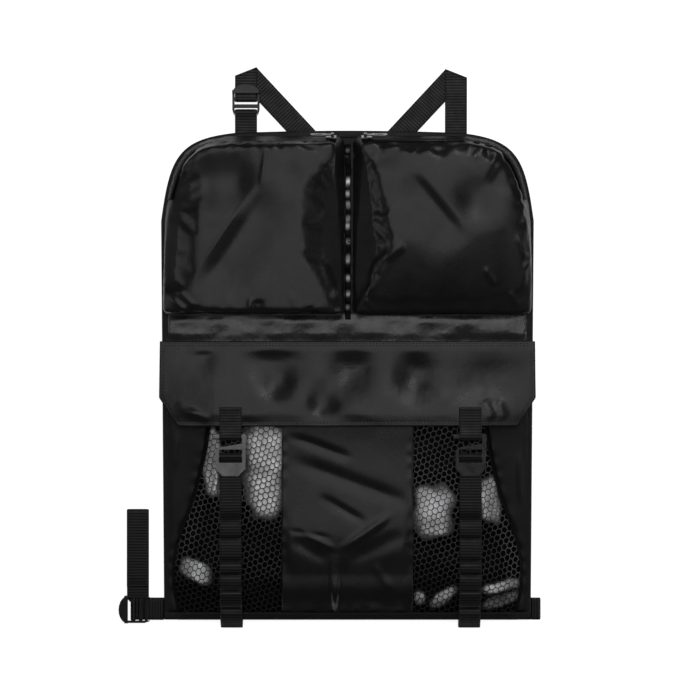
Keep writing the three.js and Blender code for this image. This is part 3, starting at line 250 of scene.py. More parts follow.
def panel_outline(margin, step=6):
    foot, floor = float(side_x(-HALF_HEIGHT)) - margin, -HALF_HEIGHT + margin
    edge, top = PANEL_WIDTH / 2 - margin, HALF_HEIGHT - margin
    shoulder, end = HALF_HEIGHT - CORNER_DOWN, PANEL_WIDTH / 2 - CORNER_ACROSS
    half = straight((0, floor), (foot - FOOT_CORNER, floor), step)
    half += bezier([(foot - FOOT_CORNER, floor), (foot, floor), (foot, floor + FOOT_CORNER)], 4)
    half += straight((foot, floor + FOOT_CORNER), (edge, shoulder), step)
    half += bezier([(edge, shoulder), (edge - 9.6, top - 30), (edge - 19, top - 9.5), (end, top - TOP_CROWN)], 24)
    half += bezier([(end, top - TOP_CROWN), (60, top), (0, top)], 20)
    return cleaned(half + [(-x, y) for x, y in reversed(half)])


def catmull(points, count):
    p = [np.array(q, float) for q in points]
    out = []
    for k in range(count + 1):
        at = (len(p) - 1) * k / count
        i = min(int(at), len(p) - 2)
        t = at - i
        a, b, c, d = p[max(i - 1, 0)], p[i], p[i + 1], p[min(i + 2, len(p) - 1)]
        out.append(0.5 * ((2 * b) + (c - a) * t + (2 * a - 5 * b + 4 * c - d) * t * t
                          + (3 * b - a - 3 * c + d) * t ** 3))
    return np.array(out)


WALL_LINE = catmull([(-HALF_HEIGHT, 190), (-234, 198.5), (-191, 194), (-130, 173), (-59, 158),
                     (POCKET_RIM_Y, 157)], 60)


def wall_edge(y):
    return np.interp(y, WALL_LINE[:, 0], WALL_LINE[:, 1])


def wall_height(x, y):
    edge = wall_edge(y)
    fall = np.minimum(34, np.maximum(4, edge - 152.5))
    side = np.clip((edge - np.abs(x)) / fall, 0, 1)
    foot = np.clip((np.asarray(y, float) - WALL_FOOT_Y) / 48, 0, 1)
    mouth = 1 - 0.9 * smooth(-42, POCKET_RIM_Y, y)
    return FRONT_Z + POCKET_DEPTH * mouth * np.sin(side * np.pi / 2) * np.sin(foot * np.pi / 2)


def slack_wall(x, y):
    """The wall as the cloth hangs: lower towards the flap, and nearly flat behind it."""
    drawn = (1 - 0.44 * smooth(-186, -66, y)) * (1 - 0.8 * smooth(-56, -8, y))
    return FRONT_Z + (wall_height(x, y) - FRONT_Z) * drawn


# Materials
def tree(name):
    mat = bpy.data.materials.new(name)
    mat.use_nodes = True
    nt = mat.node_tree
    return mat, nt, nt.nodes["Principled BSDF"]


def node(nt, kind, **values):
    n = nt.nodes.new(kind)
    for key, value in values.items():
        if key in n.inputs:
            n.inputs[key].default_value = value
        else:
            setattr(n, key, value)
    return n


def joined(nt, operation, a, b):
    """A math node on two outputs."""
    n = node(nt, "ShaderNodeMath", operation=operation)
    nt.links.new(a, n.inputs[0])
    nt.links.new(b, n.inputs[1])
    return n.outputs[0]


def tone_of(nt):
    return node(nt, "ShaderNodeAttribute", attribute_name="tone").outputs["Fac"]


def grey(level, blue=None):
    return level, level, blue or level


def noise(nt, scale, detail=4.0, rough=0.55):
    coords = node(nt, "ShaderNodeTexCoord")
    tex = node(nt, "ShaderNodeTexNoise", Scale=scale, Detail=detail, Roughness=rough)
    nt.links.new(coords.outputs["Object"], tex.inputs["Vector"])
    return tex.outputs["Fac"]


def threads(nt, per_metre, direction):
    coords = node(nt, "ShaderNodeTexCoord")
    tex = node(nt, "ShaderNodeTexWave", wave_type="BANDS", bands_direction=direction, Scale=per_metre / 6.283)
    tex.inputs["Distortion"].default_value = 0.6
    tex.inputs["Detail"].default_value = 1.0
    nt.links.new(coords.outputs["Object"], tex.inputs["Vector"])
    return tex.outputs["Fac"]


def ranged(nt, value, low, high, from_low=0.3, from_high=0.7):
    n = node(nt, "ShaderNodeMapRange")
    for key, number in (("From Min", from_low), ("From Max", from_high), ("To Min", low), ("To Max", high)):
        n.inputs[key].default_value = number
    nt.links.new(value, n.inputs["Value"])
    return n.outputs["Result"]


def tones(nt, value, dark, light, at=(0.3, 0.7)):
    ramp = node(nt, "ShaderNodeValToRGB")
    ramp.color_ramp.elements[0].position, ramp.color_ramp.elements[1].position = at
    ramp.color_ramp.elements[0].color = (*dark, 1)
    ramp.color_ramp.elements[1].color = (*light, 1)
    nt.links.new(value, ramp.inputs["Fac"])
    return ramp.outputs["Color"]


def bumps(nt, shader, layers):
    """layers are (height output, strength, distance in metres), from the broadest to the finest."""
    normal = None
    for height, strength, distance in layers:
        n = node(nt, "ShaderNodeBump", Strength=strength, Distance=distance)
        nt.links.new(height, n.inputs["Height"])
        if normal:
            nt.links.new(normal, n.inputs["Normal"])
        normal = n.outputs["Normal"]
    nt.links.new(normal, shader.inputs["Normal"])


def satin_cloth(name, dark, light, rough=(0.25, 0.33), crumple=0.12, specular=0.4):
    mat, nt, shader = tree(name)
    shader.inputs["Specular IOR Level"].default_value = specular
    shader.inputs["Sheen Weight"].default_value = 0.04
    shader.inputs["Sheen Roughness"].default_value = 0.4
    nt.links.new(tones(nt, noise(nt, 26, 5), dark, light), shader.inputs["Base Color"])
    nt.links.new(ranged(nt, noise(nt, 60, 5), *rough), shader.inputs["Roughness"])
    bumps(nt, shader, [
        (noise(nt, 17, 3), crumple, 0.0035),
        (noise(nt, 62, 4), crumple * 0.6, 0.0009),
        (threads(nt, 1500, "X"), 0.14, 0.00012),
        (threads(nt, 1900, "Y"), 0.16, 0.00012),
    ])
    return mat


def coated_cloth():
    mat, nt, shader = tree("coated_cloth")
    shader.inputs["Coat Roughness"].default_value = 0.16
    nt.links.new(tones(nt, noise(nt, 40, 5), grey(0.010, 0.0105), grey(0.02, 0.021)), shader.inputs["Base Color"])
    tone = tone_of(nt)
    nt.links.new(ranged(nt, tone, 0.05, 1.2, 0.0, 1.0), shader.inputs["Specular IOR Level"])
    nt.links.new(ranged(nt, tone, 0.0, 0.7, 0.0, 1.0), shader.inputs["Coat Weight"])
    nt.links.new(ranged(nt, noise(nt, 90, 6), 0.2, 0.4), shader.inputs["Roughness"])
    bumps(nt, shader, [
        (noise(nt, 30, 3), 0.45, 0.004),
        (noise(nt, 130, 5), 0.3, 0.0008),
        (threads(nt, 1800, "X"), 0.06, 0.0001),
    ])
    return mat


def webbing_cloth(name="webbing_cloth", dark=grey(0.0028, 0.0029), light=grey(0.0095, 0.0098), gloss=0.62):
    mat, nt, shader = tree(name)
    shader.inputs["Sheen Weight"].default_value = 0.02
    shader.inputs["Sheen Roughness"].default_value = 0.5
    tone = tone_of(nt)
    # Base colour and specular follow the tone: along straps it is low in the rib valleys, painted shade between the
    # ribs, times a random grain
    rib_shade_and_grain = joined(nt, "MULTIPLY", tone, ranged(nt, noise(nt, 300, 6, 0.7), 0.7, 1.3))
    nt.links.new(tones(nt, rib_shade_and_grain, dark, light, (0.1, 0.9)), shader.inputs["Base Color"])
    nt.links.new(ranged(nt, tone, 0.03, gloss, 0.0, 1.0), shader.inputs["Specular IOR Level"])
    nt.links.new(ranged(nt, noise(nt, 120, 4), 0.42, 0.6), shader.inputs["Roughness"])
    bumps(nt, shader, [(noise(nt, 1500, 3), 0.4, 0.0003), (threads(nt, 2200, "DIAGONAL"), 0.3, 0.0002)])
    return mat


def net_cloth():
    mat, nt, shader = tree("net_cloth")
    shader.inputs["Specular IOR Level"].default_value = 0.75
    shader.inputs["Sheen Weight"].default_value = 0.02
    nt.links.new(tones(nt, noise(nt, 260, 4), grey(0.004, 0.0042), grey(0.012, 0.0124)),
                 shader.inputs["Base Color"])
    nt.links.new(ranged(nt, noise(nt, 150, 4), 0.3, 0.45), shader.inputs["Roughness"])
    bumps(nt, shader, [(noise(nt, 1300, 3), 0.5, 0.0003)])
    return mat


def lining_cloth():
    """Coated lining with a painted highlight: near black where the tone is low, and light grey, metallic and glossier
    where the tone is high, on the folds that face the light.
    """
    mat, nt, shader = tree("lining_cloth")
    tone = tone_of(nt)
    painted_highlight = joined(nt, "MULTIPLY", tone, ranged(nt, noise(nt, 55, 4), 0.7, 1.2))
    nt.links.new(tones(nt, painted_highlight, grey(0.003, 0.0031), grey(0.62, 0.63), (0.05, 0.95)),
                 shader.inputs["Base Color"])
    nt.links.new(ranged(nt, tone, 0.0, 0.9, 0.0, 0.8), shader.inputs["Metallic"])
    nt.links.new(ranged(nt, tone, 0.06, 0.5, 0.0, 1.0), shader.inputs["Specular IOR Level"])
    nt.links.new(ranged(nt, noise(nt, 90, 4), 0.34, 0.5), shader.inputs["Roughness"])
    bumps(nt, shader, [(noise(nt, 70, 3), 0.12, 0.001), (noise(nt, 300, 4), 0.15, 0.0003)])
    return mat


def moulded(name, dark, light, rough, metallic=0.0, specular=0.5, grain=700):
    mat, nt, shader = tree(name)
    shader.inputs["Metallic"].default_value = metallic
    shader.inputs["Specular IOR Level"].default_value = specular
    nt.links.new(tones(nt, noise(nt, 70, 6), dark, light), shader.inputs["Base Color"])
    nt.links.new(ranged(nt, noise(nt, 160, 6), *rough), shader.inputs["Roughness"])
    bumps(nt, shader, [(noise(nt, 35, 3), 0.12, 0.001), (noise(nt, grain, 3), 0.22, 0.00012)])
    rounded = node(nt, "ShaderNodeBevel", samples=4, Radius=0.0010)
    first = [n for n in nt.nodes if n.type == "BUMP" and not n.inputs["Normal"].links][0]
    nt.links.new(rounded.outputs["Normal"], first.inputs["Normal"])
    return mat


SATIN = satin_cloth("satin_cloth", grey(0.0050, 0.0052), grey(0.0105, 0.0109))
SATIN_FLAP = satin_cloth("satin_flap", grey(0.0055, 0.0057), grey(0.0115, 0.0119), crumple=0.3)
# Duller satin: the own finish of the back and side panels, and a darker copy on the pouch walls that stands in for
# shade
SATIN_DULL_AND_SHADED = satin_cloth("satin_dull_and_shaded", grey(0.0045, 0.0047), grey(0.009, 0.0094), (0.42, 0.56), 0.2, 0.3)
COATED = coated_cloth()
LINING_CLOTH = lining_cloth()
WEB = webbing_cloth()
TAPE = webbing_cloth("zip_tape_cloth", grey(0.003, 0.0031), grey(0.007, 0.0072), 0.16)
THREAD = webbing_cloth("thread", grey(0.008, 0.0083), grey(0.018, 0.0185))
SEAM_THREAD = webbing_cloth("seam_thread", grey(0.0012, 0.0013), grey(0.003, 0.0031))
NET = net_cloth()
PLASTIC = moulded("lock_plastic", grey(0.006, 0.0062), grey(0.014, 0.0144), (0.26, 0.42))
# The two G-hooks are one gunmetal in two copies: darker on the right hook for painted shade, light grey on the left
# for painted light
HOOK_METAL_SHADED = moulded("black_metal", grey(0.030, 0.031), grey(0.075, 0.077), (0.22, 0.34), 0.7)
HOOK_METAL_LIT = moulded("grey_metal", grey(0.17, 0.173), grey(0.27, 0.274), (0.28, 0.4), 0.9)
SLIDER_METAL = moulded("slider_metal", grey(0.10, 0.102), grey(0.22, 0.224), (0.18, 0.3), 0.95)
COIL = moulded("coil_nylon", grey(0.005, 0.0052), grey(0.012, 0.0124), (0.35, 0.5), specular=0.2)

# Camera, studio light and floor
camera_data = bpy.data.cameras.new("camera")
camera_data.lens = 85
camera = bpy.data.objects.new("camera", camera_data)
camera.location = (0.0029, 0.0285, 1.884)
scene.collection.objects.link(camera)
scene.camera = camera


def softbox(name, place, aim, size, energy):
    data = bpy.data.lights.new(name, "AREA")
    data.shape, data.size, data.size_y, data.energy = "RECTANGLE", size[0], size[1], energy
    obj = bpy.data.objects.new(name, data)
    obj.location = place
    obj.rotation_euler = (Vector(place) - Vector(aim)).to_track_quat("Z", "Y").to_euler()
    obj.visible_camera = False
    scene.collection.objects.link(obj)
    return obj


softbox("key_softbox", (0.0, 0.92, 2.3), (0, 0.92, 0), (1.9, 2.0), 13.5)
softbox("glint_softbox", (0.55, 1.5, 1.7), (0, 0, 0), (0.35, 0.35), 3.2)
softbox("side_softbox", (1.7, -0.1, 0.9), (0, 0, 0), (0.7, 1.2), 3.2)
softbox("fill_softbox", (-1.7, 0.2, 0.9), (0, 0, 0), (0.7, 1.2), 2.4)

world = bpy.data.worlds.new("studio")
world.use_nodes = True
world.node_tree.nodes["Background"].inputs["Color"].default_value = (1, 1, 1, 1)
world.node_tree.nodes["Background"].inputs["Strength"].default_value = 0.07
scene.world = world
scene.view_settings.view_transform = "Standard"


FLOOR_GLOW = 0.85


def make_floor():
    mesh = bpy.data.meshes.new("floor")
    mesh.from_pydata([(-4, -4, 0), (4, -4, 0), (4, 4, 0), (-4, 4, 0)], [], [(0, 1, 2, 3)])
    obj = bpy.data.objects.new("floor", mesh)
    obj.location = (0, 0, -0.0006)
    scene.collection.objects.link(obj)
    mat, nt, shader = tree("floor")
    shader.inputs["Roughness"].default_value = 0.9
    shader.inputs["Specular IOR Level"].default_value = 0.1
    nt.links.new(tones(nt, noise(nt, 3, 3), (0.86, 0.86, 0.86), (0.88, 0.88, 0.88)), shader.inputs["Base Color"])
    path = node(nt, "ShaderNodeLightPath")
    seen = joined(nt, "MAXIMUM", path.outputs["Is Camera Ray"], path.outputs["Is Glossy Ray"])
    seen = joined(nt, "MAXIMUM", seen, path.outputs["Is Transmission Ray"])
    glow = node(nt, "ShaderNodeMath", operation="MULTIPLY")
    nt.links.new(seen, glow.inputs[0])
    glow.inputs[1].default_value = FLOOR_GLOW
    emission = node(nt, "ShaderNodeEmission")
    nt.links.new(glow.outputs[0], emission.inputs["Strength"])
    both = node(nt, "ShaderNodeAddShader")
    nt.links.new(shader.outputs[0], both.inputs[0])
    nt.links.new(emission.outputs[0], both.inputs[1])
    nt.links.new(both.outputs[0], nt.nodes["Material Output"].inputs["Surface"])
    mesh.materials.append(mat)


make_floor()


# Ribbed webbing, stitches and tape
def resampled(path, step):
    p = np.array(path, float)
    for _ in range(2):
        q = 0.75 * p[:-1] + 0.25 * p[1:]
        r = 0.25 * p[:-1] + 0.75 * p[1:]
        mixed = np.empty((2 * len(q), 3))
        mixed[0::2], mixed[1::2] = q, r
        p = np.vstack([p[:1], mixed, p[-1:]])
    length = np.concatenate([[0], np.cumsum(np.linalg.norm(np.diff(p, axis=0), axis=1))])
    count = max(2, int(round(length[-1] / step)))
    at = np.linspace(0, length[-1], count + 1)
    return np.column_stack([np.interp(at, length, p[:, k]) for k in range(3)]), at


RIB_PITCH, RIB_DEPTH = 3.2, 0.55


def webbing(parts, path, across, trim=None, wobble=0.0, seed=0):
    """Flat woven strap along a centre line, with ribs across it and rounded selvedges.
    trim(t) gives how much to cut from the start and the end of the column at t across the strap."""
    line, at = resampled(path, RIB_PITCH / 2)
    across = np.array(across, float) / np.linalg.norm(across)
    tangent = np.gradient(line, axis=0)
    tangent /= np.linalg.norm(tangent, axis=1, keepdims=True)
    normal = np.cross(tangent, across)
    normal /= np.linalg.norm(normal, axis=1, keepdims=True)
    shares = np.array([-1, -0.93, -0.8, -0.55, -0.27, 0, 0.27, 0.55, 0.8, 0.93, 1])
    round_off = np.array([0.3, 0.85, 1, 0.97, 1, 0.96, 1, 0.97, 1, 0.85, 0.3])
    rows, cols = len(line), len(shares)
    ribs = np.where(np.arange(rows) % 2 == 0, 0.0, RIB_DEPTH)
    rng = np.random.default_rng(seed)
    edge = np.convolve(rng.normal(0, 1, rows + 40), np.ones(21) / 21, "same")[20:20 + rows] * wobble
    top, low = np.empty((rows, cols, 3)), np.empty((rows, cols, 3))
    for c, (t, r) in enumerate(zip(shares, round_off)):
        s = at.copy()
        if trim:
            cut_a, cut_b = trim(t * WEBBING_WIDTH / 2)
            s = np.clip(at, cut_a, at[-1] - cut_b)
        base = np.column_stack([np.interp(s, at, line[:, k]) for k in range(3)])
        base = base + across * (t * WEBBING_WIDTH / 2 + edge[:, None] * (1 if t > 0 else -1) * (abs(t) > 0.9))
        lift = (WEBBING / 2 * r + ribs * (0.6 if abs(t) > 0.9 else 1) - RIB_DEPTH / 2)[:, None]
        top[:, c] = base + normal * lift
        low[:, c] = base - normal * lift
    n = rows * cols
    faces = []
    ix = lambda j, i: j * cols + i
    for j in range(rows - 1):
        for i in range(cols - 1):
            a, b, c, d = ix(j, i), ix(j, i + 1), ix(j + 1, i + 1), ix(j + 1, i)
            faces.append((a, d, c, b))
            faces.append((a + n, b + n, c + n, d + n))
        faces.append((ix(j, 0), ix(j, 0) + n, ix(j + 1, 0) + n, ix(j + 1, 0)))
        k = cols - 1
        faces.append((ix(j, k), ix(j + 1, k), ix(j + 1, k) + n, ix(j, k) + n))
    k = rows - 1
    for i in range(cols - 1):
        faces.append((ix(0, i), ix(0, i + 1), ix(0, i + 1) + n, ix(0, i) + n))
        faces.append((ix(k, i), ix(k, i) + n, ix(k, i + 1) + n, ix(k, i + 1)))
    # Rib valleys get tone 0.22 and crests 1.0: painted shade between the ribs, and a lighter, glossier crest
    painted_rib_shade = np.repeat(np.where(np.arange(rows) % 2 == 0, 0.22, 1.0), cols)
    parts.add([tuple(p) for p in np.concatenate([top.reshape(-1, 3), low.reshape(-1, 3)])], faces,
              np.tile(painted_rib_shade, 2).tolist())


def stitches(parts, path, pitch=3.0, length=2.1, radius=0.28):
    """A seam of separate thread stitches, each a small six-sided lozenge lying on the path."""
    line, at = resampled(path, 0.5)
    count = int(at[-1] // pitch)
    for k in range(count):
        start = k * pitch + (pitch - length) / 2
        a, b = [np.array([np.interp(s, at, line[:, i]) for i in range(3)]) for s in (start, start + length)]
        mid = (a + b) / 2 + np.array([0, 0, radius * 0.8])
        d = (b - a) / max(np.linalg.norm(b - a), 1e-6)
        side = np.cross(d, [0, 0, 1.0])
        side /= max(np.linalg.norm(side), 1e-6)
        up = np.cross(side, d)
        ring = [mid + radius * (side * math.cos(q) + up * math.sin(q)) for q in np.linspace(0, 2 * math.pi, 6)[:-1]]
        points = [tuple(a)] + [tuple(p) for p in ring] + [tuple(b)]
        faces = []
        for i in range(5):
            j = (i + 1) % 5
            faces.append((0, 1 + j, 1 + i))
            faces.append((6, 1 + i, 1 + j))
        parts.add(points, faces)


def swept(parts, route, section_at, closed=False):
    """Closed section carried along a route: section_at(k) gives the ring of points at station k."""
    rings = [np.array(section_at(k), float) for k in range(len(route))]
    size = len(rings[0])
    points = [tuple(p) for ring in rings for p in ring]
    faces = []
    last = len(rings) if closed else len(rings) - 1
    for j in range(last):
        for k in range(size):
            a, b = j * size + k, j * size + (k + 1) % size
            c, d = ((j + 1) % len(rings)) * size + (k + 1) % size, ((j + 1) % len(rings)) * size + k
            faces.append((a, b, c, d))
    if not closed:
        faces.append(tuple(range(size - 1, -1, -1)))
        faces.append(tuple((len(rings) - 1) * size + k for k in range(size)))
    parts.add(points, faces)


def outward_of(points, i):
    a, b = points[i - 1], points[(i + 1) % len(points)]
    dx, dy = b[0] - a[0], b[1] - a[1]
    size = math.hypot(dx, dy)
    return dy / size, -dx / size


# Back panel: padded laminate with soft channels for the straps that cross its back
TOP_FOLD = {"left": (-115.5, 345.0), "right": (123.5, 342.6)}
SLANT = math.radians(47)


def middle_fold():
    (ax, ay), (bx, by) = TOP_FOLD["left"], TOP_FOLD["right"]
    ux, uy, vx, vy = math.cos(SLANT), -math.sin(SLANT), -math.cos(SLANT), -math.sin(SLANT)
    cross = ux * vy - uy * vx
    run = ((bx - ax) * vy - (by - ay) * vx) / cross
    return ax + ux * run, ay + uy * run


MIDDLE = middle_fold()
BOTTOM_STRAP_Y = -266


def channel(x, y, a, b, depth):
    length = math.hypot(b[0] - a[0], b[1] - a[1])
    dx, dy = (b[0] - a[0]) / length, (b[1] - a[1]) / length
    along, across = (x - a[0]) * dx + (y - a[1]) * dy, (y - a[1]) * dx - (x - a[0]) * dy
    inside_it = 1 - smooth(14.2, 19, np.abs(across))
    return depth * inside_it * (1 - smooth(4, 10, -along)) * (1 - smooth(length + 5, length + 12, along))


def back_height(x, y):
    depth = channel(x, y, MIDDLE, TOP_FOLD["left"], 1.75)
    depth = np.maximum(depth, channel(x, y, MIDDLE, TOP_FOLD["right"], 3.3))
    depth = np.maximum(depth, channel(x, y, (-260, BOTTOM_STRAP_Y), (260, BOTTOM_STRAP_Y), 1.75))
    soft = 0.35 + 0.3 * np.sin(x / 61) * np.sin(y / 53)
    return np.maximum(depth, soft * (depth < 0.05))


parts = Parts()
parts.add(*filled(panel_outline(1.4, 5), 5.5, lambda x, y: np.full_like(x, PANEL_THICKNESS), back_height))
back = parts.build("laminated_back", SATIN_DULL_AND_SHADED, ["back_panel"])


# Coated facing: glossy, wrinkled where it shows
def wrinkles(x, y):
    z = 0.5 * np.sin(x / 17 + 2 * np.sin(x / 41) + y / 9) + 0.4 * np.sin(x / 7.5 - y / 6)
    z = z + 0.3 * np.sin(y / 4 + x / 23)
    return z + 0.7 * np.sin(x / 29 + y / 47 + 1.3)


# Lining folds behind the net that face the light: left, right, top and foot in pixels, height in millimetres
LINING = [(199, 222, 428, 496, 9), (243, 287, 426, 516, 10.5), (179, 212, 558, 583, 5.5), (414, 454, 488, 535, 8),
          (476, 501, 478, 523, 7), (482, 520, 578, 592, 3.5), (482, 520, 592, 607, 3), (415, 455, 588, 607, 4.5)]


def slope(x, y, left, right, top, foot, height):
    """A lining fold that climbs towards its foot and drops away below it."""
    (x0, y0), (x1, y1) = at_pixel(left, top), at_pixel(right, foot)
    middle, half = (x0 + x1) / 2, (x1 - x0) / 2
    across = np.exp(-(np.abs((x - middle) / half) ** 4))
    share = np.clip((y0 - y) / (y0 - y1), 0, 1)
    return height * across * share * (1 - smooth(y1, y1 - 9, y))


# The painted highlight patch of each fold, where the lining colour turns light: centre in pixels, half length, half
# width and lean in degrees
PAINTED_HIGHLIGHTS = [(212, 460, 37, 10, 98), (266, 466, 50, 21, 90), (197, 570, 17, 9, -24), (433, 511, 24, 19, 86),
          (488, 499, 22, 11, 96), (500, 586, 20, 4.5, 15), (500, 600, 17, 5, 17), (443, 596, 15, 5, 38),
          (420, 597, 5, 6, 0)]


def lining_painted_highlight(x, y):
    total = np.zeros_like(np.asarray(x, float))
    for px, py, half_long, half_wide, lean_by in PAINTED_HIGHLIGHTS:
        cx, cy = at_pixel(px, py)
        c, s = math.cos(math.radians(lean_by)), math.sin(math.radians(lean_by))
        u = ((x - cx) * c + (y - cy) * s) / (half_long * PIXEL)
        v = ((y - cy) * c - (x - cx) * s) / (half_wide * PIXEL)
        ragged = 0.09 * np.sin(x / 5.1 + y / 7.3) + 0.07 * np.sin(y / 4.3 - x / 9.7)
        reach = (np.abs(u) ** 3 + np.abs(v) ** 3) ** (1 / 3) + ragged
        total = np.maximum(total, 1 - smooth(0.72, 1.2, reach))
    return total


def coated_top(x, y):
    strip = smooth(FLAP_SEAM_Y + 1, FLAP_SEAM_Y + 8, y) * (1 - smooth(POUCH_FOOT - 7, POUCH_FOOT + 1, y))
    lining = (1 - smooth(-62, -50, y)) * smooth(WALL_FOOT_Y + 4, WALL_FOOT_Y + 30, y)
    lining = lining * smooth(0, 26, wall_edge(y) - np.abs(x))
    centre = (1 - smooth(4.5, 7, np.abs(x - 1.7))) * smooth(POUCH_FOOT, POUCH_FOOT + 6, y)
    bulge = sum(slope(x, y, *zone) for zone in LINING)
    fine = 1.2 + 0.7 * wrinkles(x, y)
    band = 1.3 + 0.75 * wrinkles(x, y)
    return (COATED_Z + CLOTH + strip * np.clip(band, 0, 4)
            + lining * np.clip(np.minimum(fine + bulge, slack_wall(x, y) - COATED_Z - 2.4), 0, 12)
            + centre * 0.8 * np.abs(wrinkles(x * 3, y * 2)))


parts = Parts()
parts.add(*filled(panel_outline(BINDING_WIDTH + SEAT_GAP - 3, 5), 3.6, coated_top,
                  lambda x, y: np.full_like(x, COATED_Z)))
coated = parts.build("coated_facing", COATED, ["coated_panel"])
coated.data.materials.append(LINING_CLOTH)
places = np.array([v.co for v in coated.data.vertices]) / MM
seam = (np.abs(places[:, 0] - 1.7) < 9) & (places[:, 1] > POUCH_FOOT + 2)
# Tone per point: painted highlights on the lining below y 0, low gloss along the centre seam, a middle value
# elsewhere
shine = np.where(places[:, 1] < 0, lining_painted_highlight(places[:, 0], places[:, 1]), np.where(seam, 0.05, 0.5))
coated.data.attributes["tone"].data.foreach_set("value", shine)
for face in coated.data.polygons:
    if face.center.y / MM < POCKET_RIM_Y:
        face.material_index = 1


# Edge binding: woven tape folded round the panel's edge, with a row of stitches
def binding_section(points, i):
    nx, ny = outward_of(points, i)
    x, y = points[i]
    section = [(BINDING_WIDTH, 5.35), (BINDING_WIDTH - 0.3, 6.25), (6, 6.45), (2, 6.35), (0.5, 5.9), (-0.15, 4.6),
               (-0.2, 2.6), (0.3, 0.8), (1.6, 0.15), (BINDING_WIDTH - 2, 0.1), (BINDING_WIDTH - 1.6, 0.5),
               (1.9, 0.9), (1.3, 2.6), (1.6, 4.9)]
    return [(x - nx * inset, y - ny * inset, z) for inset, z in section]


outline = panel_outline(0.2, 2.2)
parts = Parts()
swept(parts, outline, lambda k: binding_section(outline, k), closed=True)
parts.build("bound_edge", WEB, ["edge_binding"])
parts = Parts()
seam = [(x, y, 6.4) for x, y in panel_outline(7.6, 4)]
stitches(parts, seam + seam[:1])
parts.build("binding_stitches", THREAD)


# Upper pouches: a slack box shape swollen by a cloth simulation, then folds, seams and zip
def pouch_outline(side, step=4.5):
    inner, foot, edge, top = POUCH_INNER[side] * SIDES[side], POUCH_FOOT, POUCH_OUTER, POUCH_TOP
    shoulder, corner = HALF_HEIGHT - CORNER_DOWN, 9
    pts = straight((inner + corner, foot), (edge - corner, foot), step)
    pts += bezier([(edge - corner, foot), (edge, foot), (edge, foot + corner)], 4)
    pts += straight((edge, foot + corner), (edge, shoulder), step)
    pts += bezier([(edge, shoulder), (edge - 9, top - 27), (edge - 19, top - 4), (128, top)], 24)
    pts += straight((128, top), (inner + corner, top), step)
    pts += bezier([(inner + corner, top), (inner, top), (inner, top - corner)], 4)
    pts += straight((inner, top - corner), (inner, foot + corner), step)
    pts += bezier([(inner, foot + corner), (inner, foot), (inner + corner, foot)], 4)
    pts = cleaned(pts)
    if side == "left":
        pts = [(-x, y) for x, y in reversed(pts)]
    return pts


def lean(y):
    return 1.5 + 9.5 * smooth(110, 245, y)


def shrunk(side, x, y):
    """From the footprint to the front face: the walls lean in by lean(y)."""
    inner, outer = POUCH_INNER[side], SIDES[side] * POUCH_OUTER
    xc, half, yc, tall = (inner + outer) / 2, abs(outer - inner) / 2, (POUCH_TOP + POUCH_FOOT) / 2, 102
    return xc + (x - xc) * (1 - lean(y) / half), yc + (y - yc) * (1 - lean(y) / tall)


# Edge of the sunken inner gusset, as pixel rows and columns of the photograph
GUSSET = {
    "left": ([150, 195, 227, 259, 289, 318], [343, 316, 308, 313, 326, 341]),
    "right": ([150, 175, 202, 249, 279, 318], [360, 370, 376, 386, 371, 354]),
}


def front_height(side, x, y):
    inner, outer = POUCH_INNER[side], SIDES[side] * POUCH_OUTER
    u = (x - (inner + outer) / 2) / (abs(outer - inner) / 2)
    v = (y - (POUCH_TOP + POUCH_FOOT) / 2) / 102
    crown = np.clip(1 - np.abs(u) ** 2.6, 0, 1) * np.clip(1 - np.abs(v) ** 2.4, 0, 1)
    if side == "left":
        down = (1 - v) / 2
        crown = np.clip(1 - np.abs(u) ** 4, 0, 1) * (0.3 * smooth(0, 0.08, down) + 0.5 * down)
    z = SHOULDER_Z + POUCH_CROWN * crown
    rows, cols = GUSSET[side]
    edge_y = np.array([at_pixel(0, r)[1] for r in rows])[::-1]
    edge_x = np.array([at_pixel(c, 0)[0] for c in cols])[::-1]
    edge = np.interp(y, edge_y, edge_x)
    past = (x - edge) if side == "left" else (edge - x)
    if side == "left":
        slack = smooth(88, 120, y) * (1 - smooth(212, 236, y))
        z = z - 2.0 * smooth(-4, 5, past) - 0.26 * np.maximum(past - 1, 0) - 8 * slack * smooth(0, 36, -168 - x)
    else:
        z = z - 6.5 * smooth(-3, 6, past) - 0.24 * np.maximum(past - 5, 0)
        z = z + 1.2 * smooth(4, 0, past) * smooth(-16, -4, past)
        crest = np.interp(x, [52, 70, 101, 135, 177, 200], [144, 152, 151, 155.6, 168, 150])
        z = z - 0.085 * np.maximum(crest - y, 0) - 0.012 * np.maximum(y - crest, 0)
    return z


CLOTH_FRAMES = 20


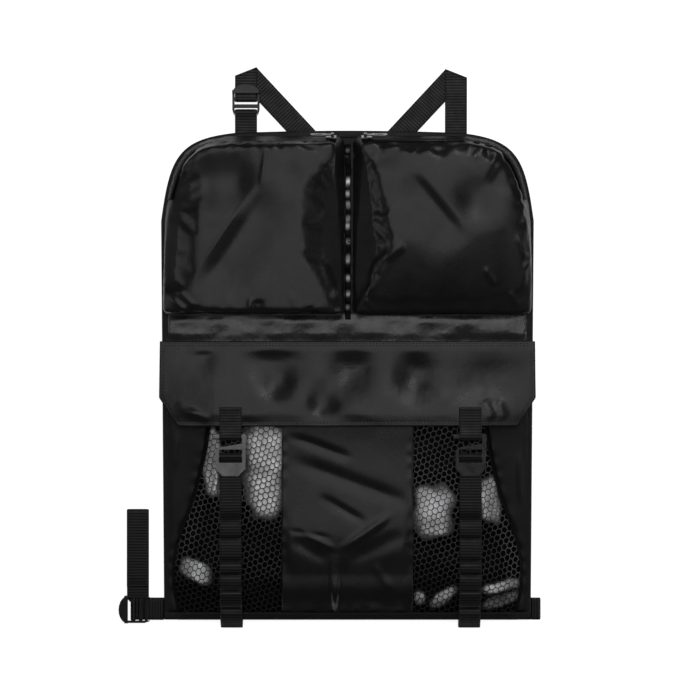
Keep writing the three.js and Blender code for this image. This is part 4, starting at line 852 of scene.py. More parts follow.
def swell(obj, pins, pressure, grow, cap, mask):
    """Cloth simulation of a slack cover; pins(p) and mask(p) take points in millimetres."""
    rest = np.array([v.co for v in obj.data.vertices]) / MM
    group = obj.vertex_groups.new(name="pin")
    weights = pins(rest)
    for i in np.nonzero(weights > 0)[0]:
        group.add([int(i)], float(weights[i]), "REPLACE")
    mod = obj.modifiers.new("cloth", "CLOTH")
    s = mod.settings
    s.quality, s.mass, s.air_damping = 6, 0.25, 4
    s.tension_stiffness = s.compression_stiffness = 12
    s.shear_stiffness, s.bending_stiffness = 6, 0.35
    s.use_pressure, s.uniform_pressure_force, s.shrink_min = True, pressure, grow
    s.vertex_group_mass = "pin"
    s.effector_weights.gravity = 0
    mod.collision_settings.use_collision = False
    mod.point_cache.frame_start, mod.point_cache.frame_end = 1, CLOTH_FRAMES
    for k in range(1, CLOTH_FRAMES + 1):
        scene.frame_set(k)
    shaped = obj.evaluated_get(bpy.context.evaluated_depsgraph_get())
    after = np.array([v.co for v in shaped.data.vertices]) / MM
    obj.modifiers.remove(mod)
    scene.frame_set(1)
    move = (after - rest) * mask(rest)[:, None]
    far = np.linalg.norm(move, axis=1, keepdims=True)
    move *= np.minimum(1, cap / np.maximum(far, 1e-6))
    place(obj, rest + move)


def place(obj, points):
    obj.data.vertices.foreach_set("co", (np.asarray(points) * MM).ravel())
    obj.data.update()


def points_of(obj):
    flat = np.empty(len(obj.data.vertices) * 3)
    obj.data.vertices.foreach_get("co", flat)
    return flat.reshape(-1, 3) / MM


def applied(obj, kind, **values):
    mod = obj.modifiers.new(kind.lower(), kind)
    for key, value in values.items():
        setattr(mod, key, value)
    mesh = bpy.data.meshes.new_from_object(obj.evaluated_get(bpy.context.evaluated_depsgraph_get()))
    obj.modifiers.remove(mod)
    old, name = obj.data, obj.data.name
    obj.data = mesh
    bpy.data.meshes.remove(old)
    mesh.name = name
    mesh.polygons.foreach_set("use_smooth", [True] * len(mesh.polygons))


FOLDS = {
    "left": [
        ((250, 199), (203, 269), 1.6, 0.5), ((268, 148), (262, 194), 2.4, 0.9),
        ((178, 289), (200, 309), 2.8, 1.2), ((172, 297), (195, 318), 2.6, 1.2), ((260, 300), (260, 318), 6.0, -1.8),
        ((253, 298), (251, 318), 3.0, 1.2), ((336, 200), (331, 268), 4.0, 1.0), ((322, 262), (338, 300), 4.5, 1.0),
        ((224, 292), (240, 316), 5.0, 0.5), ((292, 292), (300, 318), 4.5, 0.6)],
    "right": [
        ((498, 150), (488, 172), 5.0, 1.6), ((478, 146), (470, 166), 4.0, 0.9), ((402, 148), (380, 156), 4.0, 1.0),
        ((482, 268), (494, 288), 3.2, 1.2), ((514, 236), (524, 262), 4.0, 1.2),
        ((366, 200), (368, 262), 3.0, 1.4), ((376, 262), (368, 300), 4.0, 1.3), ((404, 246), (384, 262), 5.0, 1.6),
        ((505, 292), (524, 314), 3.0, 1.1), ((360, 296), (380, 316), 3.0, 1.0),
        ((520, 205), (528, 217), 2.4, 1.2)],
}


HOLLOWS = {
    "left": [(190, 224, 148, 186, 6.2, 44), (218, 254, 143, 184, 6.4, 46), (283, 305, 162, 181, 1.3, 30)],
    "right": [(454, 494, 168, 201, 5.2, 40), (362, 396, 140, 157, 2.6, 26)],
}
STREAKS = {
    "left": [((257, 201), (208, 274), 19, 4.6, 58)],
    "right": [((418, 181), (459, 230), 15, 4.0, 50), ((508, 146), (486, 184), 16, 3.0, 44)],
}


def puckers(side, p):
    """Small gathers that run in from the front face's seam."""
    x, y = p[:, 0], p[:, 1]
    inner, outer = POUCH_INNER[side], SIDES[side] * POUCH_OUTER
    to_top = POUCH_TOP - 11 - y - 0.0035 * np.maximum(0, np.abs(x) - 120) ** 2
    to_foot = y - POUCH_FOOT - 1.5
    to_side = np.minimum(np.abs(x - inner), np.abs(x - outer)) - lean(y)

    def gathers(off, reach, v, pitch, sway, turn, patches, shift=0):
        wave = np.sin(v / pitch + sway * np.sin(v / turn))
        return np.exp(-(np.maximum(off, 0) / reach) ** 2) * wave * (0.5 + 0.5 * np.sin(v / patches + shift))

    return (0.6 * gathers(to_top, 9, x, 2.3, 1.7, 13, 19) + 0.5 * gathers(to_foot, 8, x, 3.9, 2, 21, 27, 1)
            + 0.45 * gathers(to_side, 7, y, 3.1, 2, 17, 23))


def make_pouch(side):
    outline = pouch_outline(side)
    parts = Parts()
    points, faces = filled(outline, 6, lambda x, y: np.full_like(x, 99), lambda x, y: np.full_like(x, FRONT_Z))
    p = np.array(points)
    front = p[:, 2] > 90
    p[front, 0], p[front, 1] = shrunk(side, p[front, 0], p[front, 1])
    p[front, 2] = front_height(side, p[front, 0], p[front, 1])
    parts.add([tuple(q) for q in p], faces)
    pouch = parts.build(f"pouch_{side}", SATIN, [f"pouch_shell_{side}"])
    applied(pouch, "REMESH", mode="VOXEL", voxel_size=0.0036)
    def held(q):
        wall = 1 - smooth(SHOULDER_Z - 9, SHOULDER_Z - 3, q[:, 2])
        zipped = smooth(185, 200, q[:, 1])
        return np.clip(np.where(q[:, 2] < FRONT_Z + 2.5, 1.0, wall * np.maximum(zipped, 0.25)), 0, 1)

    def free(q):
        return np.maximum(smooth(SHOULDER_Z - 6, SHOULDER_Z, q[:, 2]), 0.35 * (1 - smooth(185, 200, q[:, 1])))

    swell(pouch, held, 3.0, -0.012, 1.6, free)
    applied(pouch, "SUBSURF", levels=1, subdivision_type="CATMULL_CLARK")
    p = points_of(pouch)
    upper = smooth(SHOULDER_Z - 7, SHOULDER_Z - 1, p[:, 2])
    p[:, 2] += upper * (creased(p[:, 0], p[:, 1], FOLDS[side], HOLLOWS[side], STREAKS[side]) + puckers(side, p))
    for axis, (low, high) in enumerate(sorted_ends(side)):
        a, b = p[:, axis].min(), p[:, axis].max()
        p[:, axis] = low + (p[:, axis] - a) * (high - low) / (b - a)
    place(pouch, p)
    # Pouch walls below the shoulder take the duller, darker satin: painted shade on the same cloth as the front
    pouch.data.materials.append(SATIN_DULL_AND_SHADED)
    for face in pouch.data.polygons:
        if face.center.y > 0.07 and face.center.z < (SHOULDER_Z - 2.5) * MM:
            face.material_index = 1


def sorted_ends(side):
    return [sorted((POUCH_INNER[side], SIDES[side] * POUCH_OUTER)), (POUCH_FOOT, POUCH_TOP)]


def wall_point(points, i, share, stand=0.0):
    nx, ny = outward_of(points, i)
    x, y = points[i]
    reach = float(lean(y))
    slope = math.hypot(reach, POUCH_DEPTH)
    out = stand * POUCH_DEPTH / slope - reach * share
    return x + nx * out, y + ny * out, FRONT_Z + POUCH_DEPTH * share + stand * reach / slope


def zip_route(side):
    points = pouch_outline(side, 0.8)
    fine = []
    for x, y in points:
        if not fine or math.hypot(x - fine[-1][0], y - fine[-1][1]) > 0.55:
            fine.append((x, y))
    inner = POUCH_INNER[side] * SIDES[side]
    keep = [k for k, (x, y) in enumerate(fine) if y > 195 and abs(x) > inner + 8.5]
    return fine, keep


def make_zip(side):
    points, keep = zip_route(side)
    tape = [(0.2, 0.35), (0.86, 0.35), (0.86, 0.95), (0.66, 1.15), (0.64, 1.3), (0.42, 1.3), (0.4, 1.15), (0.2, 0.95)]
    parts = Parts()
    swept(parts, keep, lambda k: [wall_point(points, keep[k], s, d) for s, d in tape])
    parts.build(f"zip_tape_{side}", TAPE, [f"zip_chain_{side}"])
    coil = Parts()
    for half, shift in ((-1, 0), (1, 1)):
        def tooth(k, half=half, shift=shift):
            high = 1.85 if (k + shift) % 2 == 0 else 1.35
            a, b = sorted((0.53, 0.53 + half * 0.1))
            return [wall_point(points, keep[k], s, d) for s, d in
                    [(a, 1.1), (b, 1.1), (b, high - 0.25), ((a + b) / 2, high), (a, high - 0.25)]]
        swept(coil, keep, tooth)
    coil.build(f"zip_coil_{side}", COIL, flat=True)
    seam = Parts()
    for share in (0.16, 0.9):
        stitches(seam, [wall_point(points, k, share, 0.5) for k in keep[::6]], 2.6, 1.9, 0.22)
    seam.build(f"zip_stitches_{side}", THREAD)


for side in SIDES:
    make_pouch(side)
for side in SIDES:
    make_zip(side)


# Glossy seam tape between the pouches, wrinkled crosswise, with painted highlights at listed rows
TAPE_PAINTED_HIGHLIGHTS = [(152, 0.3), (183, 1.0), (195, 0.6), (206, 0.7), (220, 0.6), (227, 0.7), (242, 0.5), (260, 0.95),
                 (279, 0.6), (294, 0.6), (308, 0.4)]
rows = np.linspace(POUCH_FOOT - 4, 262, 240)
strip, glow = np.empty((240, 5, 3)), []
for j, y in enumerate(rows):
    xs = np.linspace(*(at_pixel(px, 0)[0] for px in (345.2, 350.8)), 5)
    row_px = PHOTO_Y - y / PIXEL
    lit = max(size * math.exp(-((row_px - at) / (2.0 + 1.6 * size)) ** 2) for at, size in TAPE_PAINTED_HIGHLIGHTS)
    strip[j, :, 0], strip[j, :, 1] = xs + 0.4 * math.sin(y / 7), y
    strip[j, :, 2] = COATED_Z + 2.6 + 0.5 * math.sin(y / 3.1) + 0.3 * math.sin(y / 1.9)
    # Painted highlight: the lit rows turn the tape's colour light across its middle
    glow += [0.05, lit * 0.9, lit, lit * 0.9, 0.05]
parts = Parts()
tape_points, tape_faces = shell(strip, 0.5)
parts.add(tape_points, tape_faces, glow + glow)
parts.build("seam_tape", LINING_CLOTH)


# Lower pocket: satin middle, net at both sides with its gusset tape, flat side panels and hem
CENTRE_FOLDS = [
    ((284, 433), (356, 460), 5, -1.7), ((288, 458), (416, 505), 8, -2.2), ((318, 494), (368, 523), 4.5, -1.8),
    ((286, 528), (334, 537), 2.6, -0.8), ((300, 529), (338, 549), 3.5, 1.3), ((394, 511), (338, 550), 4.5, 1.8),
    ((290, 536), (330, 560), 7, -1.4), ((344, 560), (410, 530), 9, -1.6), ((372, 560), (392, 590), 5, 0.8),
    ((352, 590), (404, 612), 6, 0.7)]


def centre_top(x, y):
    z = slack_wall(x, y) + CLOTH
    z = z + 3.2 * np.sin(np.pi * smooth(WALL_FOOT_Y, -222, y)) * (y < -222)
    free = 1 - smooth(CENTRE_HALF - 14, CENTRE_HALF, np.abs(x))
    open_it = smooth(WALL_FOOT_Y + 2, WALL_FOOT_Y + 22, y) * (1 - smooth(-76, -58, y))
    folds = creased(x, y, CENTRE_FOLDS)
    stem_half = np.clip((y + 277) / 6.5, 0.6, 7.5)
    stem = slope(x, y, 328, 342, 551, 620, 5.0) * smooth(1.0, 0.5, np.abs(x + 14) / stem_half)
    sag = 2.6 * np.exp(-((y + 192) / 30) ** 2) + stem
    soft = 0.2 * np.sin(x / 13 + y / 29) * np.sin(y / 17 - x / 31)
    gather = 0.25 * np.sin(y / 3.4 + 2 * np.sin(y / 15)) * smooth(CENTRE_HALF - 9, CENTRE_HALF - 2, np.abs(x))
    foot = 0.8 * np.sin(x / 3.1 + 2 * np.sin(x / 14)) * (1 - smooth(WALL_FOOT_Y + 3, WALL_FOOT_Y + 24, y))
    return z + free * open_it * (folds + sag + soft) + open_it * gather + foot * smooth(-1, 4, y - WALL_FOOT_Y)


def grid_of(rows, columns_at, height):
    out = np.empty((len(rows), len(columns_at(rows[0])), 3))
    for j, y in enumerate(rows):
        xs = np.array(columns_at(y), float)
        out[j, :, 0], out[j, :, 1] = xs, y
        out[j, :, 2] = height(xs, np.full_like(xs, y))
    return out


parts = Parts()
rows = np.linspace(WALL_FOOT_Y, POCKET_RIM_Y, 150)
parts.add(*shell(grid_of(rows, lambda y: np.linspace(-73.7, 73.7, 90), centre_top), 0.6))
centre = parts.build("centre_panel", SATIN, ["centre_pocket_panel"])


CELL_X, CELL_Y, STRAND = 5.36, 7.1, 1.0
NET_TURN, NET_HIGH, NET_AREA = 13, FLAP_FOOT_Y + 16, 0.0084


def net_top(x, y):
    soft = 0.7 * np.sin(x / 15 + y / 31) * np.sin(y / 19 - x / 23)
    return slack_wall(x, y) + CLOTH + soft * smooth(0, 18, wall_edge(y) - np.abs(x)) * smooth(0, 20, y - WALL_FOOT_Y)


def make_net(side):
    sign, high = SIDES[side], NET_HIGH
    turn = math.radians(-NET_TURN * sign)
    cos_t, sin_t, mid_x, mid_y = math.cos(turn), math.sin(turn), 137.0, -160.0
    a, h = CELL_X / 1.5, CELL_Y / 2
    corners = [(a, 0), (a / 2, h), (-a / 2, h), (-a, 0), (-a / 2, -h), (a / 2, -h)]
    index, points, faces = {}, [], []

    def limited(x, y):
        y = min(max(y, WALL_FOOT_Y - 0.5), high)
        return min(max(x, CENTRE_HALF + 0.4), float(wall_edge(y)) - 0.4), y

    def turned(x, y):
        dx, dy = x - mid_x, y - mid_y
        return mid_x + dx * cos_t - dy * sin_t, mid_y + dx * sin_t + dy * cos_t

    def warped(x, y):
        x, y = turned(x, y)
        return (x + 0.9 * math.sin(y / 11 + x / 17) + 0.35 * math.sin(y / 4.1 - x / 6),
                y + 1.0 * math.sin(x / 13 - y / 23) + 0.35 * math.sin(x / 4.7 + y / 5.3))

    def add(x, y, shared):
        key = (round(x, 2), round(y, 2))
        if shared and key in index:
            return index[key]
        x, y = limited(*warped(x, y))
        points.append((sign * x, y))
        if shared:
            index[key] = len(points) - 1
        return len(points) - 1

    column = 0
    x = CENTRE_HALF - 50
    while x < 250:
        y = WALL_FOOT_Y - 30 + (h if column % 2 else 0)
        while y < high + 40:
            px, py = limited(*turned(x, y))
            if math.hypot(px - turned(x, y)[0], py - turned(x, y)[1]) < 2.4:
                outer = [add(x + cx, y + cy, True) for cx, cy in corners]
                k = 1 - STRAND / 2 / (h * 0.96)
                mid = np.mean([points[i] for i in outer], axis=0)
                inner = []
                for i in outer:
                    q = mid + (np.array(points[i]) - mid) * k
                    points.append(tuple(q))
                    inner.append(len(points) - 1)
                for i in range(6):
                    j = (i + 1) % 6
                    faces.append((outer[i], outer[j], inner[j], inner[i]))
            y += CELL_Y
        x += CELL_X
        column += 1
    xy = np.array(points)
    top = np.column_stack([xy, net_top(xy[:, 0], xy[:, 1])])
    low = top - [0, 0, 0.55]
    shell_faces = doubled([f if sign > 0 else f[::-1] for f in faces], len(top))
    net = make(f"net_{side}", [tuple(p) for p in np.vstack([top, low])], shell_faces, NET,
               [f"mesh_pocket_{side}"], flat=True)
    tape = Parts()
    rows = np.linspace(WALL_FOOT_Y + 1, NET_HIGH, 90)
    strip = np.empty((len(rows), 7, 3))
    for j, y in enumerate(rows):
        edge = float(wall_edge(y))
        xs = np.linspace(edge - 2.6, edge + 0.6, 7)
        strip[j, :, 0], strip[j, :, 1] = sign * xs, y
        strip[j, :, 2] = net_top(xs, np.full(7, y)) + 0.45 + 0.35 * np.sin(y / 2.9 + 2 * math.sin(y / 19))
    if sign < 0:
        strip = strip[:, ::-1]
    tape.add(*shell(strip, 0.5))
    tape.build(f"net_gusset_{side}", TAPE)


for side in SIDES:
    make_net(side)


def make_side_panel(side):
    sign = SIDES[side]

    def top(x, y):
        edge = wall_edge(y)
        seam = np.exp(-((np.abs(x) - edge) / 7) ** 2)
        pucker = 0.55 * seam * np.sin(y / 3.3 + 2 * np.sin(y / 17))
        soft = 0.6 + 0.6 * np.sin(y / 37 + 1) * np.sin(np.abs(x) / 9)
        shine = ((178, 430), (176, 472), 3, 1.3) if sign < 0 else ((519, 450), (519, 506), 3, 1.5)
        soft = soft + ridge(x, y, *shine)
        rise = smooth(0, 5, np.abs(x) - edge) * smooth(0, 6, side_x(y) - 6 - np.abs(x))
        return FRONT_Z + CLOTH + rise * (soft + 0.4) + pucker * smooth(-270, -258, y)
    rows = np.linspace(-268, 30.5, 110)

    def columns(y):
        a, b = float(wall_edge(y)) + 0.6, float(side_x(y)) - 5.5
        return np.linspace(a, b, 22) if sign > 0 else np.linspace(-b, -a, 22)
    parts = Parts()
    parts.add(*shell(grid_of(rows, columns, top), 0.7))
    panel = parts.build(f"side_cloth_{side}", SATIN_DULL_AND_SHADED, [f"side_panel_{side}"])


for side in SIDES:
    make_side_panel(side)


def hem_top(x, y):
    lift = np.where(np.abs(x) > 193, 0, CLOTH + wall_height(x, y) - FRONT_Z)
    roll = 0.5 * np.sqrt(np.clip(1 - ((y + 273.5) / 4.6) ** 2, 0, 1))
    return FRONT_Z + SEAT_GAP + 1.0 + lift + roll


parts = Parts()
rows = np.linspace(-277.5, -269.5, 9)
parts.add(*shell(grid_of(rows, lambda y: np.linspace(-207.5, 207.5, 560), lambda x, y: hem_top(x, y)
          + 0.09 * (np.round((x + 207.5) / 415 * 559) % 2)), 0.9))
parts.build("hem_tape", WEB, ["bottom_hem"])
parts = Parts()
stitches(parts, [(x, -271.2, float(hem_top(x, -271.2)) + 0.15) for x in np.linspace(-205, 205, 140)])
parts.build("hem_stitches", THREAD)


# Flap: one draped sheet with soft dips and folds, and two rows of stitches inside its edge
FLAP_FOLDS = [
    ((186, 410), (214, 420), 4, 1.5), ((176, 404), (204, 416), 5, 1.2), ((482, 398), (492, 420), 6, 1.1),
    ((496, 398), (503, 420), 5.5, 0.9), ((330, 405), (400, 424), 8, 0.6), ((420, 384), (450, 404), 8, 0.5)]
FLAP_HOLLOWS = [
    (243, 306, 346, 364, 5.4, 46), (264, 294, 360, 385, 4.4, 30), (328, 376, 346, 369, 7.4, 48),
    (308, 338, 370, 404, 6.0, 26), (393, 438, 346, 375, 8.2, 50), (445, 524, 346, 380, 6.6, 48),
    (190, 219, 348, 358, 2.2, 30), (184, 218, 411, 423, 1.2, 8), (239, 262, 415, 424, 1.0, 6)]


def flap_top(x, y):
    down = 1 - 0.42 * np.clip((np.abs(x) - 150) / 62, 0, 1)
    share = 1 - (1 - np.clip((FLAP_SEAM_Y - 1 - y) / 82, 0, 1)) ** 1.2
    z = FRONT_Z + 0.1 + (WALL_TOP_Z + DRAPE_GAP - FRONT_Z - 0.1) * down * share + 1.6
    free = smooth(0, 16, FLAP_SEAM_Y - y)
    hem = 0.35 * (1 - smooth(2.5, 4, y - FLAP_FOOT_Y))
    wave = 0.4 * np.sin(x / 31 + 0.7) * smooth(10, 80, FLAP_SEAM_Y - y)
    return z + free * creased(x, y, FLAP_FOLDS, FLAP_HOLLOWS) + hem + wave


def flap_half(y):
    rise = max(0.0, FLAP_FOOT_Y + FLAP_CHAMFER[1] - y)
    return FLAP_HALF - rise * FLAP_CHAMFER[0] / FLAP_CHAMFER[1]


parts = Parts()
rows = np.linspace(FLAP_FOOT_Y, FLAP_SEAM_Y, 66)
parts.add(*shell(grid_of(rows, lambda y: np.linspace(-flap_half(y), flap_half(y), 260), flap_top), 1.2))
flap = parts.build("flap_cloth", SATIN_FLAP, ["flap"])
parts = Parts()
for inset in (3.4, 5.2):
    low = FLAP_FOOT_Y + inset
    path = [(-FLAP_HALF + inset, FLAP_SEAM_Y - 10), (-FLAP_HALF + inset, FLAP_FOOT_Y + 32),
            (-flap_half(FLAP_FOOT_Y) + inset * 0.6, low), (flap_half(FLAP_FOOT_Y) - inset * 0.6, low),
            (FLAP_HALF - inset, FLAP_FOOT_Y + 32), (FLAP_HALF - inset, FLAP_SEAM_Y - 10)]
    dense = []
    for a, b in zip(path, path[1:]):
        dense += straight(a, b, 3)
    stitches(parts, [(x, y, float(flap_top(x, y)) + 0.05) for x, y in cleaned(dense)], 3.8, 2.6, 0.42)
for inset in (2.2, 5.0):
    y = FLAP_SEAM_Y - inset
    stitches(parts, [(x, y, float(flap_top(x, y)) + 0.05) for x in np.linspace(-208, 208, 150)], 3.8, 2.6, 0.42)
parts.build("flap_stitches", SEAM_THREAD)


# Straps, on the same paths as the CAD model
def arc(cy, cz, radius, a, b, count=8):
    return [(cy + radius * math.cos(math.radians(q)), cz + radius * math.sin(math.radians(q)))
            for q in np.linspace(a, b, count)]


def up_strap(parts, path, x, **options):
    """A strap that runs in Y: path is (y, z)."""
    webbing(parts, [(x, y, z) for y, z in path], (1, 0, 0), **options)


def bartack(parts, x, y, z, width=20):
    """A dense bar of stitches across a strap."""
    for k in range(int(width / 0.9)):
        px = x - width / 2 + k * 0.9
        stitches(parts, [(px, y - 1.1, z), (px + 0.45, y + 1.1, z)], 2.2, 2.1, 0.3)


def make_hook_line(side):
    x = HOOK_X[side]
    bar, lower, centre_z = HOOK_Y + HOOK_BAR_Y, STRAP_Z + WEBBING / 2, STRAP_Z + BAR_Z
    radius, bend = centre_z - lower, (HOOK_BAR_DEPTH - BAR) / 2
    parts = Parts()
    up_strap(parts, [(-154, lower), (bar - 2, lower), *arc(bar + bend, centre_z, radius, -90, 90),
                     (bar - bend - 0.4, centre_z + radius), (HOOK_Y + LIP_TOP + 0.8, lower + LAYER + 0.4),
                     (HOOK_Y + LIP_TOP - 4, lower + LAYER), (-148, lower + LAYER), (-154.5, lower + LAYER - 0.2)],
             x, seed=3)
    parts.build(f"hook_webbing_{side}", WEB, [f"hook_strap_{side}"])
    finger, bend = HOOK_Y + FINGER_Y, (FINGER_DEPTH - BAR) / 2
    on_flap = WALL_TOP_Z + DRAPE_GAP + 1.6 + SEAT_GAP + WEBBING / 2
    parts = Parts()
    up_strap(parts, [(-36, on_flap + 0.2), (FLAP_FOOT_Y - 1, on_flap + 0.5), (finger + bend + 1, centre_z + radius),
                     *arc(finger - bend, centre_z, radius, 90, 270), (finger + 3, lower), (-58.7, lower)], x, seed=4)
    parts.build(f"flap_loop_{side}", WEB, [f"flap_tab_{side}"])
    tacks = [-163, -184, -209, -225, -243, -264]
    slack = [2.8, 2.4, 2.9, 2.5, 2.2]
    on_wall = lambda y, s: (y, float(wall_height(0, y)) + CLOTH + DRAPE_GAP + WEBBING / 2 + s)
    path = [on_wall(-140, LAYER * 2 + 0.2), on_wall(-154, LAYER * 2 + 0.2)]
    for k, tack in enumerate(tacks):
        path += [on_wall(tack + 1.6, 0.1), on_wall(tack, -0.3), on_wall(tack - 1.6, 0.1)]
        if k + 1 < len(tacks):
            path += [on_wall(tack - 3.4, slack[k]), on_wall(tacks[k + 1] + 3.4, slack[k] * 0.9)]
    hem_top = FRONT_Z + 2 * CLOTH + SEAT_GAP + 0.2
    loop_y, loop_z = -HALF_HEIGHT - 7, PANEL_THICKNESS / 2 + WEBBING
    path += [(WALL_FOOT_Y + 4, hem_top + WEBBING + 4.4), (-HALF_HEIGHT - 1, hem_top + WEBBING)]
    path += [(y, z) for y, z in arc(loop_y, loop_z, 2, 90, 270)] + [(-HALF_HEIGHT - 0.6, loop_z - 2)]
    parts = Parts()
    up_strap(parts, path, x, wobble=0.5, seed=5 if side == "left" else 6)
    parts.build(f"daisy_webbing_{side}", WEB, [f"daisy_strap_{side}"])
    parts = Parts()
    for y in (-40, -52):
        bartack(parts, x, y, on_flap + WEBBING / 2 + 0.35)
    bartack(parts, x, -150, lower + LAYER + WEBBING / 2 + 0.3)
    for tack in tacks:
        y, z = on_wall(tack, 0.2)
        bartack(parts, x, y, z + WEBBING / 2 + 0.25)
    parts.build(f"bartacks_{side}", SEAM_THREAD)


for side in SIDES:
    make_hook_line(side)


def fold_cut(along, fold_degrees):
    """How far a fold line moves the end of each column of a strap that runs along a direction."""
    fold = math.radians(fold_degrees)
    fx, fy = math.cos(fold), math.sin(fold)
    ux, uy = along
    across = (uy, -ux)
    reach = fx * across[0] + fy * across[1]
    slope = (fx * ux + fy * uy) / reach
    return lambda t: t * slope


def flat_leg(parts, start, start_fold, end, end_fold, z, seed=0):
    dx, dy = end[0] - start[0], end[1] - start[1]
    length = math.hypot(dx, dy)
    along = (dx / length, dy / length)
    spare = 22
    a = (start[0] - along[0] * spare, start[1] - along[1] * spare, z)
    b = (end[0] + along[0] * spare, end[1] + along[1] * spare, z)
    first, last = fold_cut(along, start_fold), fold_cut(along, end_fold)
    webbing(parts, [a, b], (along[1], -along[0], 0),
            trim=lambda t: (max(0.0, spare + first(t)), max(0.0, spare - last(t))), seed=seed)


def fold_roll(parts, centre, outward, length, layer):
    """The rounded turn between two layers along a fold line."""
    middle = layer * LAYER + WEBBING + SEAT_GAP / 2
    angle = math.radians(outward)
    ox, oy = math.cos(angle), math.sin(angle)
    ax, ay = -oy, ox
    ring = [(0.9 * math.cos(q), 1.5 * math.sin(q)) for q in np.linspace(-math.pi / 2, math.pi / 2, 9)]
    ring = [(-1.6, -1.45)] + ring + [(-1.6, 1.45)]
    stations = np.linspace(-length / 2, length / 2, int(length / 1.6))

    def section(k):
        s, bulge = stations[k], 0.12 * (k % 2)
        return [(centre[0] + ox * (u + bulge) + ax * s, centre[1] + oy * (u + bulge) + ay * s, middle + z)
                for u, z in ring]

    swept(parts, stations, section)


def make_top_strap():
    left, right = TOP_FOLD["left"], TOP_FOLD["right"]
    lean_fold = (90 - 47) / 2
    turn = WEBBING_WIDTH / math.cos(math.radians(lean_fold))
    parts = Parts()
    flat_leg(parts, left, lean_fold, MIDDLE, 0, WEBBING / 2, 11)
    flat_leg(parts, MIDDLE, 0, right, -lean_fold, LAYER + WEBBING / 2, 12)
    fold_roll(parts, MIDDLE, -90, WEBBING_WIDTH / math.sin(SLANT), 0)
    fold_roll(parts, left, 90 + lean_fold, turn, 0)
    fold_roll(parts, right, 90 - lean_fold, turn, 1)
    lock_y = HALF_HEIGHT + 35
    bar, radius = lock_y + 1, BAR_Z - WEBBING / 2
    spare = 22
    cut_left = fold_cut((0, -1), lean_fold)
    level = LAYER + WEBBING / 2
    path = [(left[1] + spare, level), (left[1] - 13, level), (lock_y + 19, level),
            (lock_y + 8, BAR_Z + radius - 0.3), (bar + 1.5, BAR_Z + radius), *arc(bar - 1, BAR_Z, radius, 90, 270),
            (bar + 6, WEBBING / 2)]
    webbing(parts, [(left[0], y, z) for y, z in path], (-1, 0, 0),
            trim=lambda t: (max(0.0, spare + cut_left(t)), 0.0), seed=13)
    top, slot = 2 * LAYER + WEBBING / 2, PANEL_THICKNESS / 2
    cut_right = fold_cut((0, -1), -lean_fold)
    path = [(right[1] + spare, top), (right[1] - 26, top), (HALF_HEIGHT + 10, slot), (HALF_HEIGHT - 15.5, slot)]
    webbing(parts, [(right[0], y, z) for y, z in path], (-1, 0, 0),
            trim=lambda t: (max(0.0, spare + cut_right(t)), 0.0), seed=14)
    parts.build("headrest_webbing", WEB, ["top_strap"])
    bar = lock_y - 13.5
    parts = Parts()
    path = [(HALF_HEIGHT - 15.5, slot), (HALF_HEIGHT + 3, slot), (bar - 7, 2 * LAYER), (bar - 1.6, BAR_Z + radius),
            *arc(bar + 0.5, BAR_Z, radius, 90, -90), (bar - 2, WEBBING / 2), (HALF_HEIGHT + 1.2, WEBBING / 2)]
    webbing(parts, [(left[0], y, z) for y, z in path], (1, 0, 0), seed=15)
    parts.build("lock_tab_top", WEB, ["top_lock_tab"])


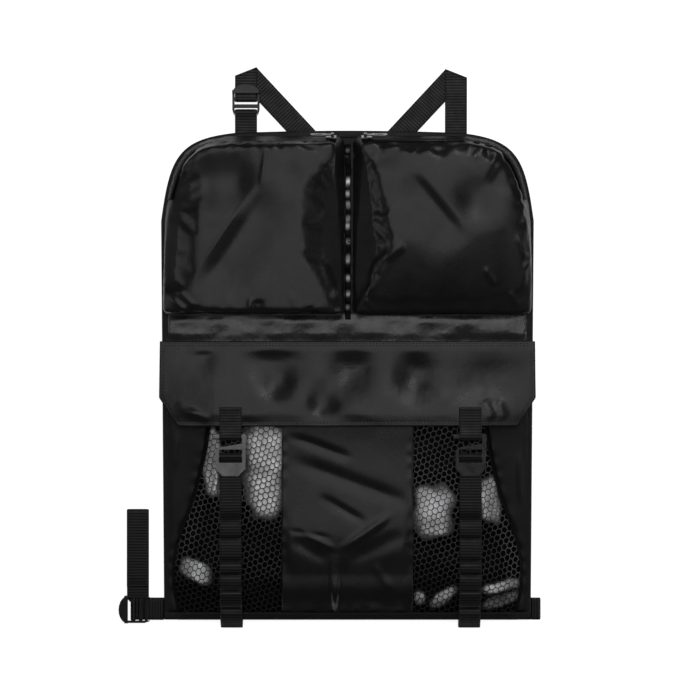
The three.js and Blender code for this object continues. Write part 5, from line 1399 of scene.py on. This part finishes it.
def make_bottom_strap():
    edge = float(side_x(BOTTOM_STRAP_Y))
    lock_x = -edge - 33.4
    tail_x, tail_top, tail_end = lock_x + 3.5, BOTTOM_STRAP_Y + 112, BOTTOM_STRAP_Y + 25
    stub, turn = edge + 11, WEBBING / 2 + SEAT_GAP / 2
    parts = Parts()
    run = [(tail_x - 20, WEBBING / 2), (stub - turn, WEBBING / 2),
           *arc(stub - turn, WEBBING + SEAT_GAP / 2, turn, -90, 90), (edge + 0.8, LAYER + WEBBING / 2)]
    corner = fold_cut((1, 0), -45)
    spare = 20
    webbing(parts, [(x, BOTTOM_STRAP_Y, z) for x, z in run], (0, -1, 0),
            trim=lambda t: (max(0.0, spare + corner(t)), 0.0), seed=21)
    upright = fold_cut((0, 1), -45)
    tail = [(BOTTOM_STRAP_Y - spare, LAYER + WEBBING / 2), (tail_top, LAYER + WEBBING / 2),
            *arc(tail_top, LAYER + WEBBING + SEAT_GAP / 2, turn, -80, 80), (tail_top, 2 * LAYER + WEBBING / 2),
            (tail_end, 2 * LAYER + WEBBING / 2)]
    webbing(parts, [(tail_x, y, z) for y, z in tail], (1, 0, 0),
            trim=lambda t: (max(0.0, spare + upright(t)), 0.0), seed=22)
    fold_roll(parts, (tail_x, BOTTOM_STRAP_Y), -135, WEBBING_WIDTH * math.sqrt(2), 0)
    parts.build("seat_webbing", WEB, ["bottom_strap"])
    bar, base = lock_x - 1, 2 * LAYER
    centre = base + BAR_Z
    radius = centre - base - WEBBING / 2
    low = base + WEBBING / 2
    parts = Parts()
    path = [(bar + 2, centre + radius - 0.2), *arc(bar - 1, centre, radius, 90, 270), (bar + 1, low),
            (-edge - 8, low), (-edge - 0.6, PANEL_THICKNESS - WEBBING / 2)]
    webbing(parts, [(x, BOTTOM_STRAP_Y, z) for x, z in path], (0, -1, 0), seed=23)
    parts.build("lock_tab_bottom", WEB, ["bottom_lock_tab"])
    parts = Parts()
    for k in (tail_end + 5, tail_end + 9):
        bartack(parts, tail_x, k, 2 * LAYER + WEBBING + 0.3)
    parts.build("tail_bartacks", SEAM_THREAD)


make_top_strap()
make_bottom_strap()

# Hard parts stay as the CAD has them, with their own finishes; the two G-hooks get a shaded and a lit copy of one
# gunmetal
FINISHES = {
    "g_hook_left": HOOK_METAL_LIT, "g_hook_right": HOOK_METAL_SHADED, "top_ladder_lock": PLASTIC, "bottom_ladder_lock": PLASTIC,
    "zip_slider_left": SLIDER_METAL, "zip_slider_right": SLIDER_METAL, "zip_pull_left": SLIDER_METAL,
    "zip_pull_right": SLIDER_METAL,
}
for name, material in FINISHES.items():
    for place_in in bpy.data.objects[name].material_slots:
        place_in.material = material
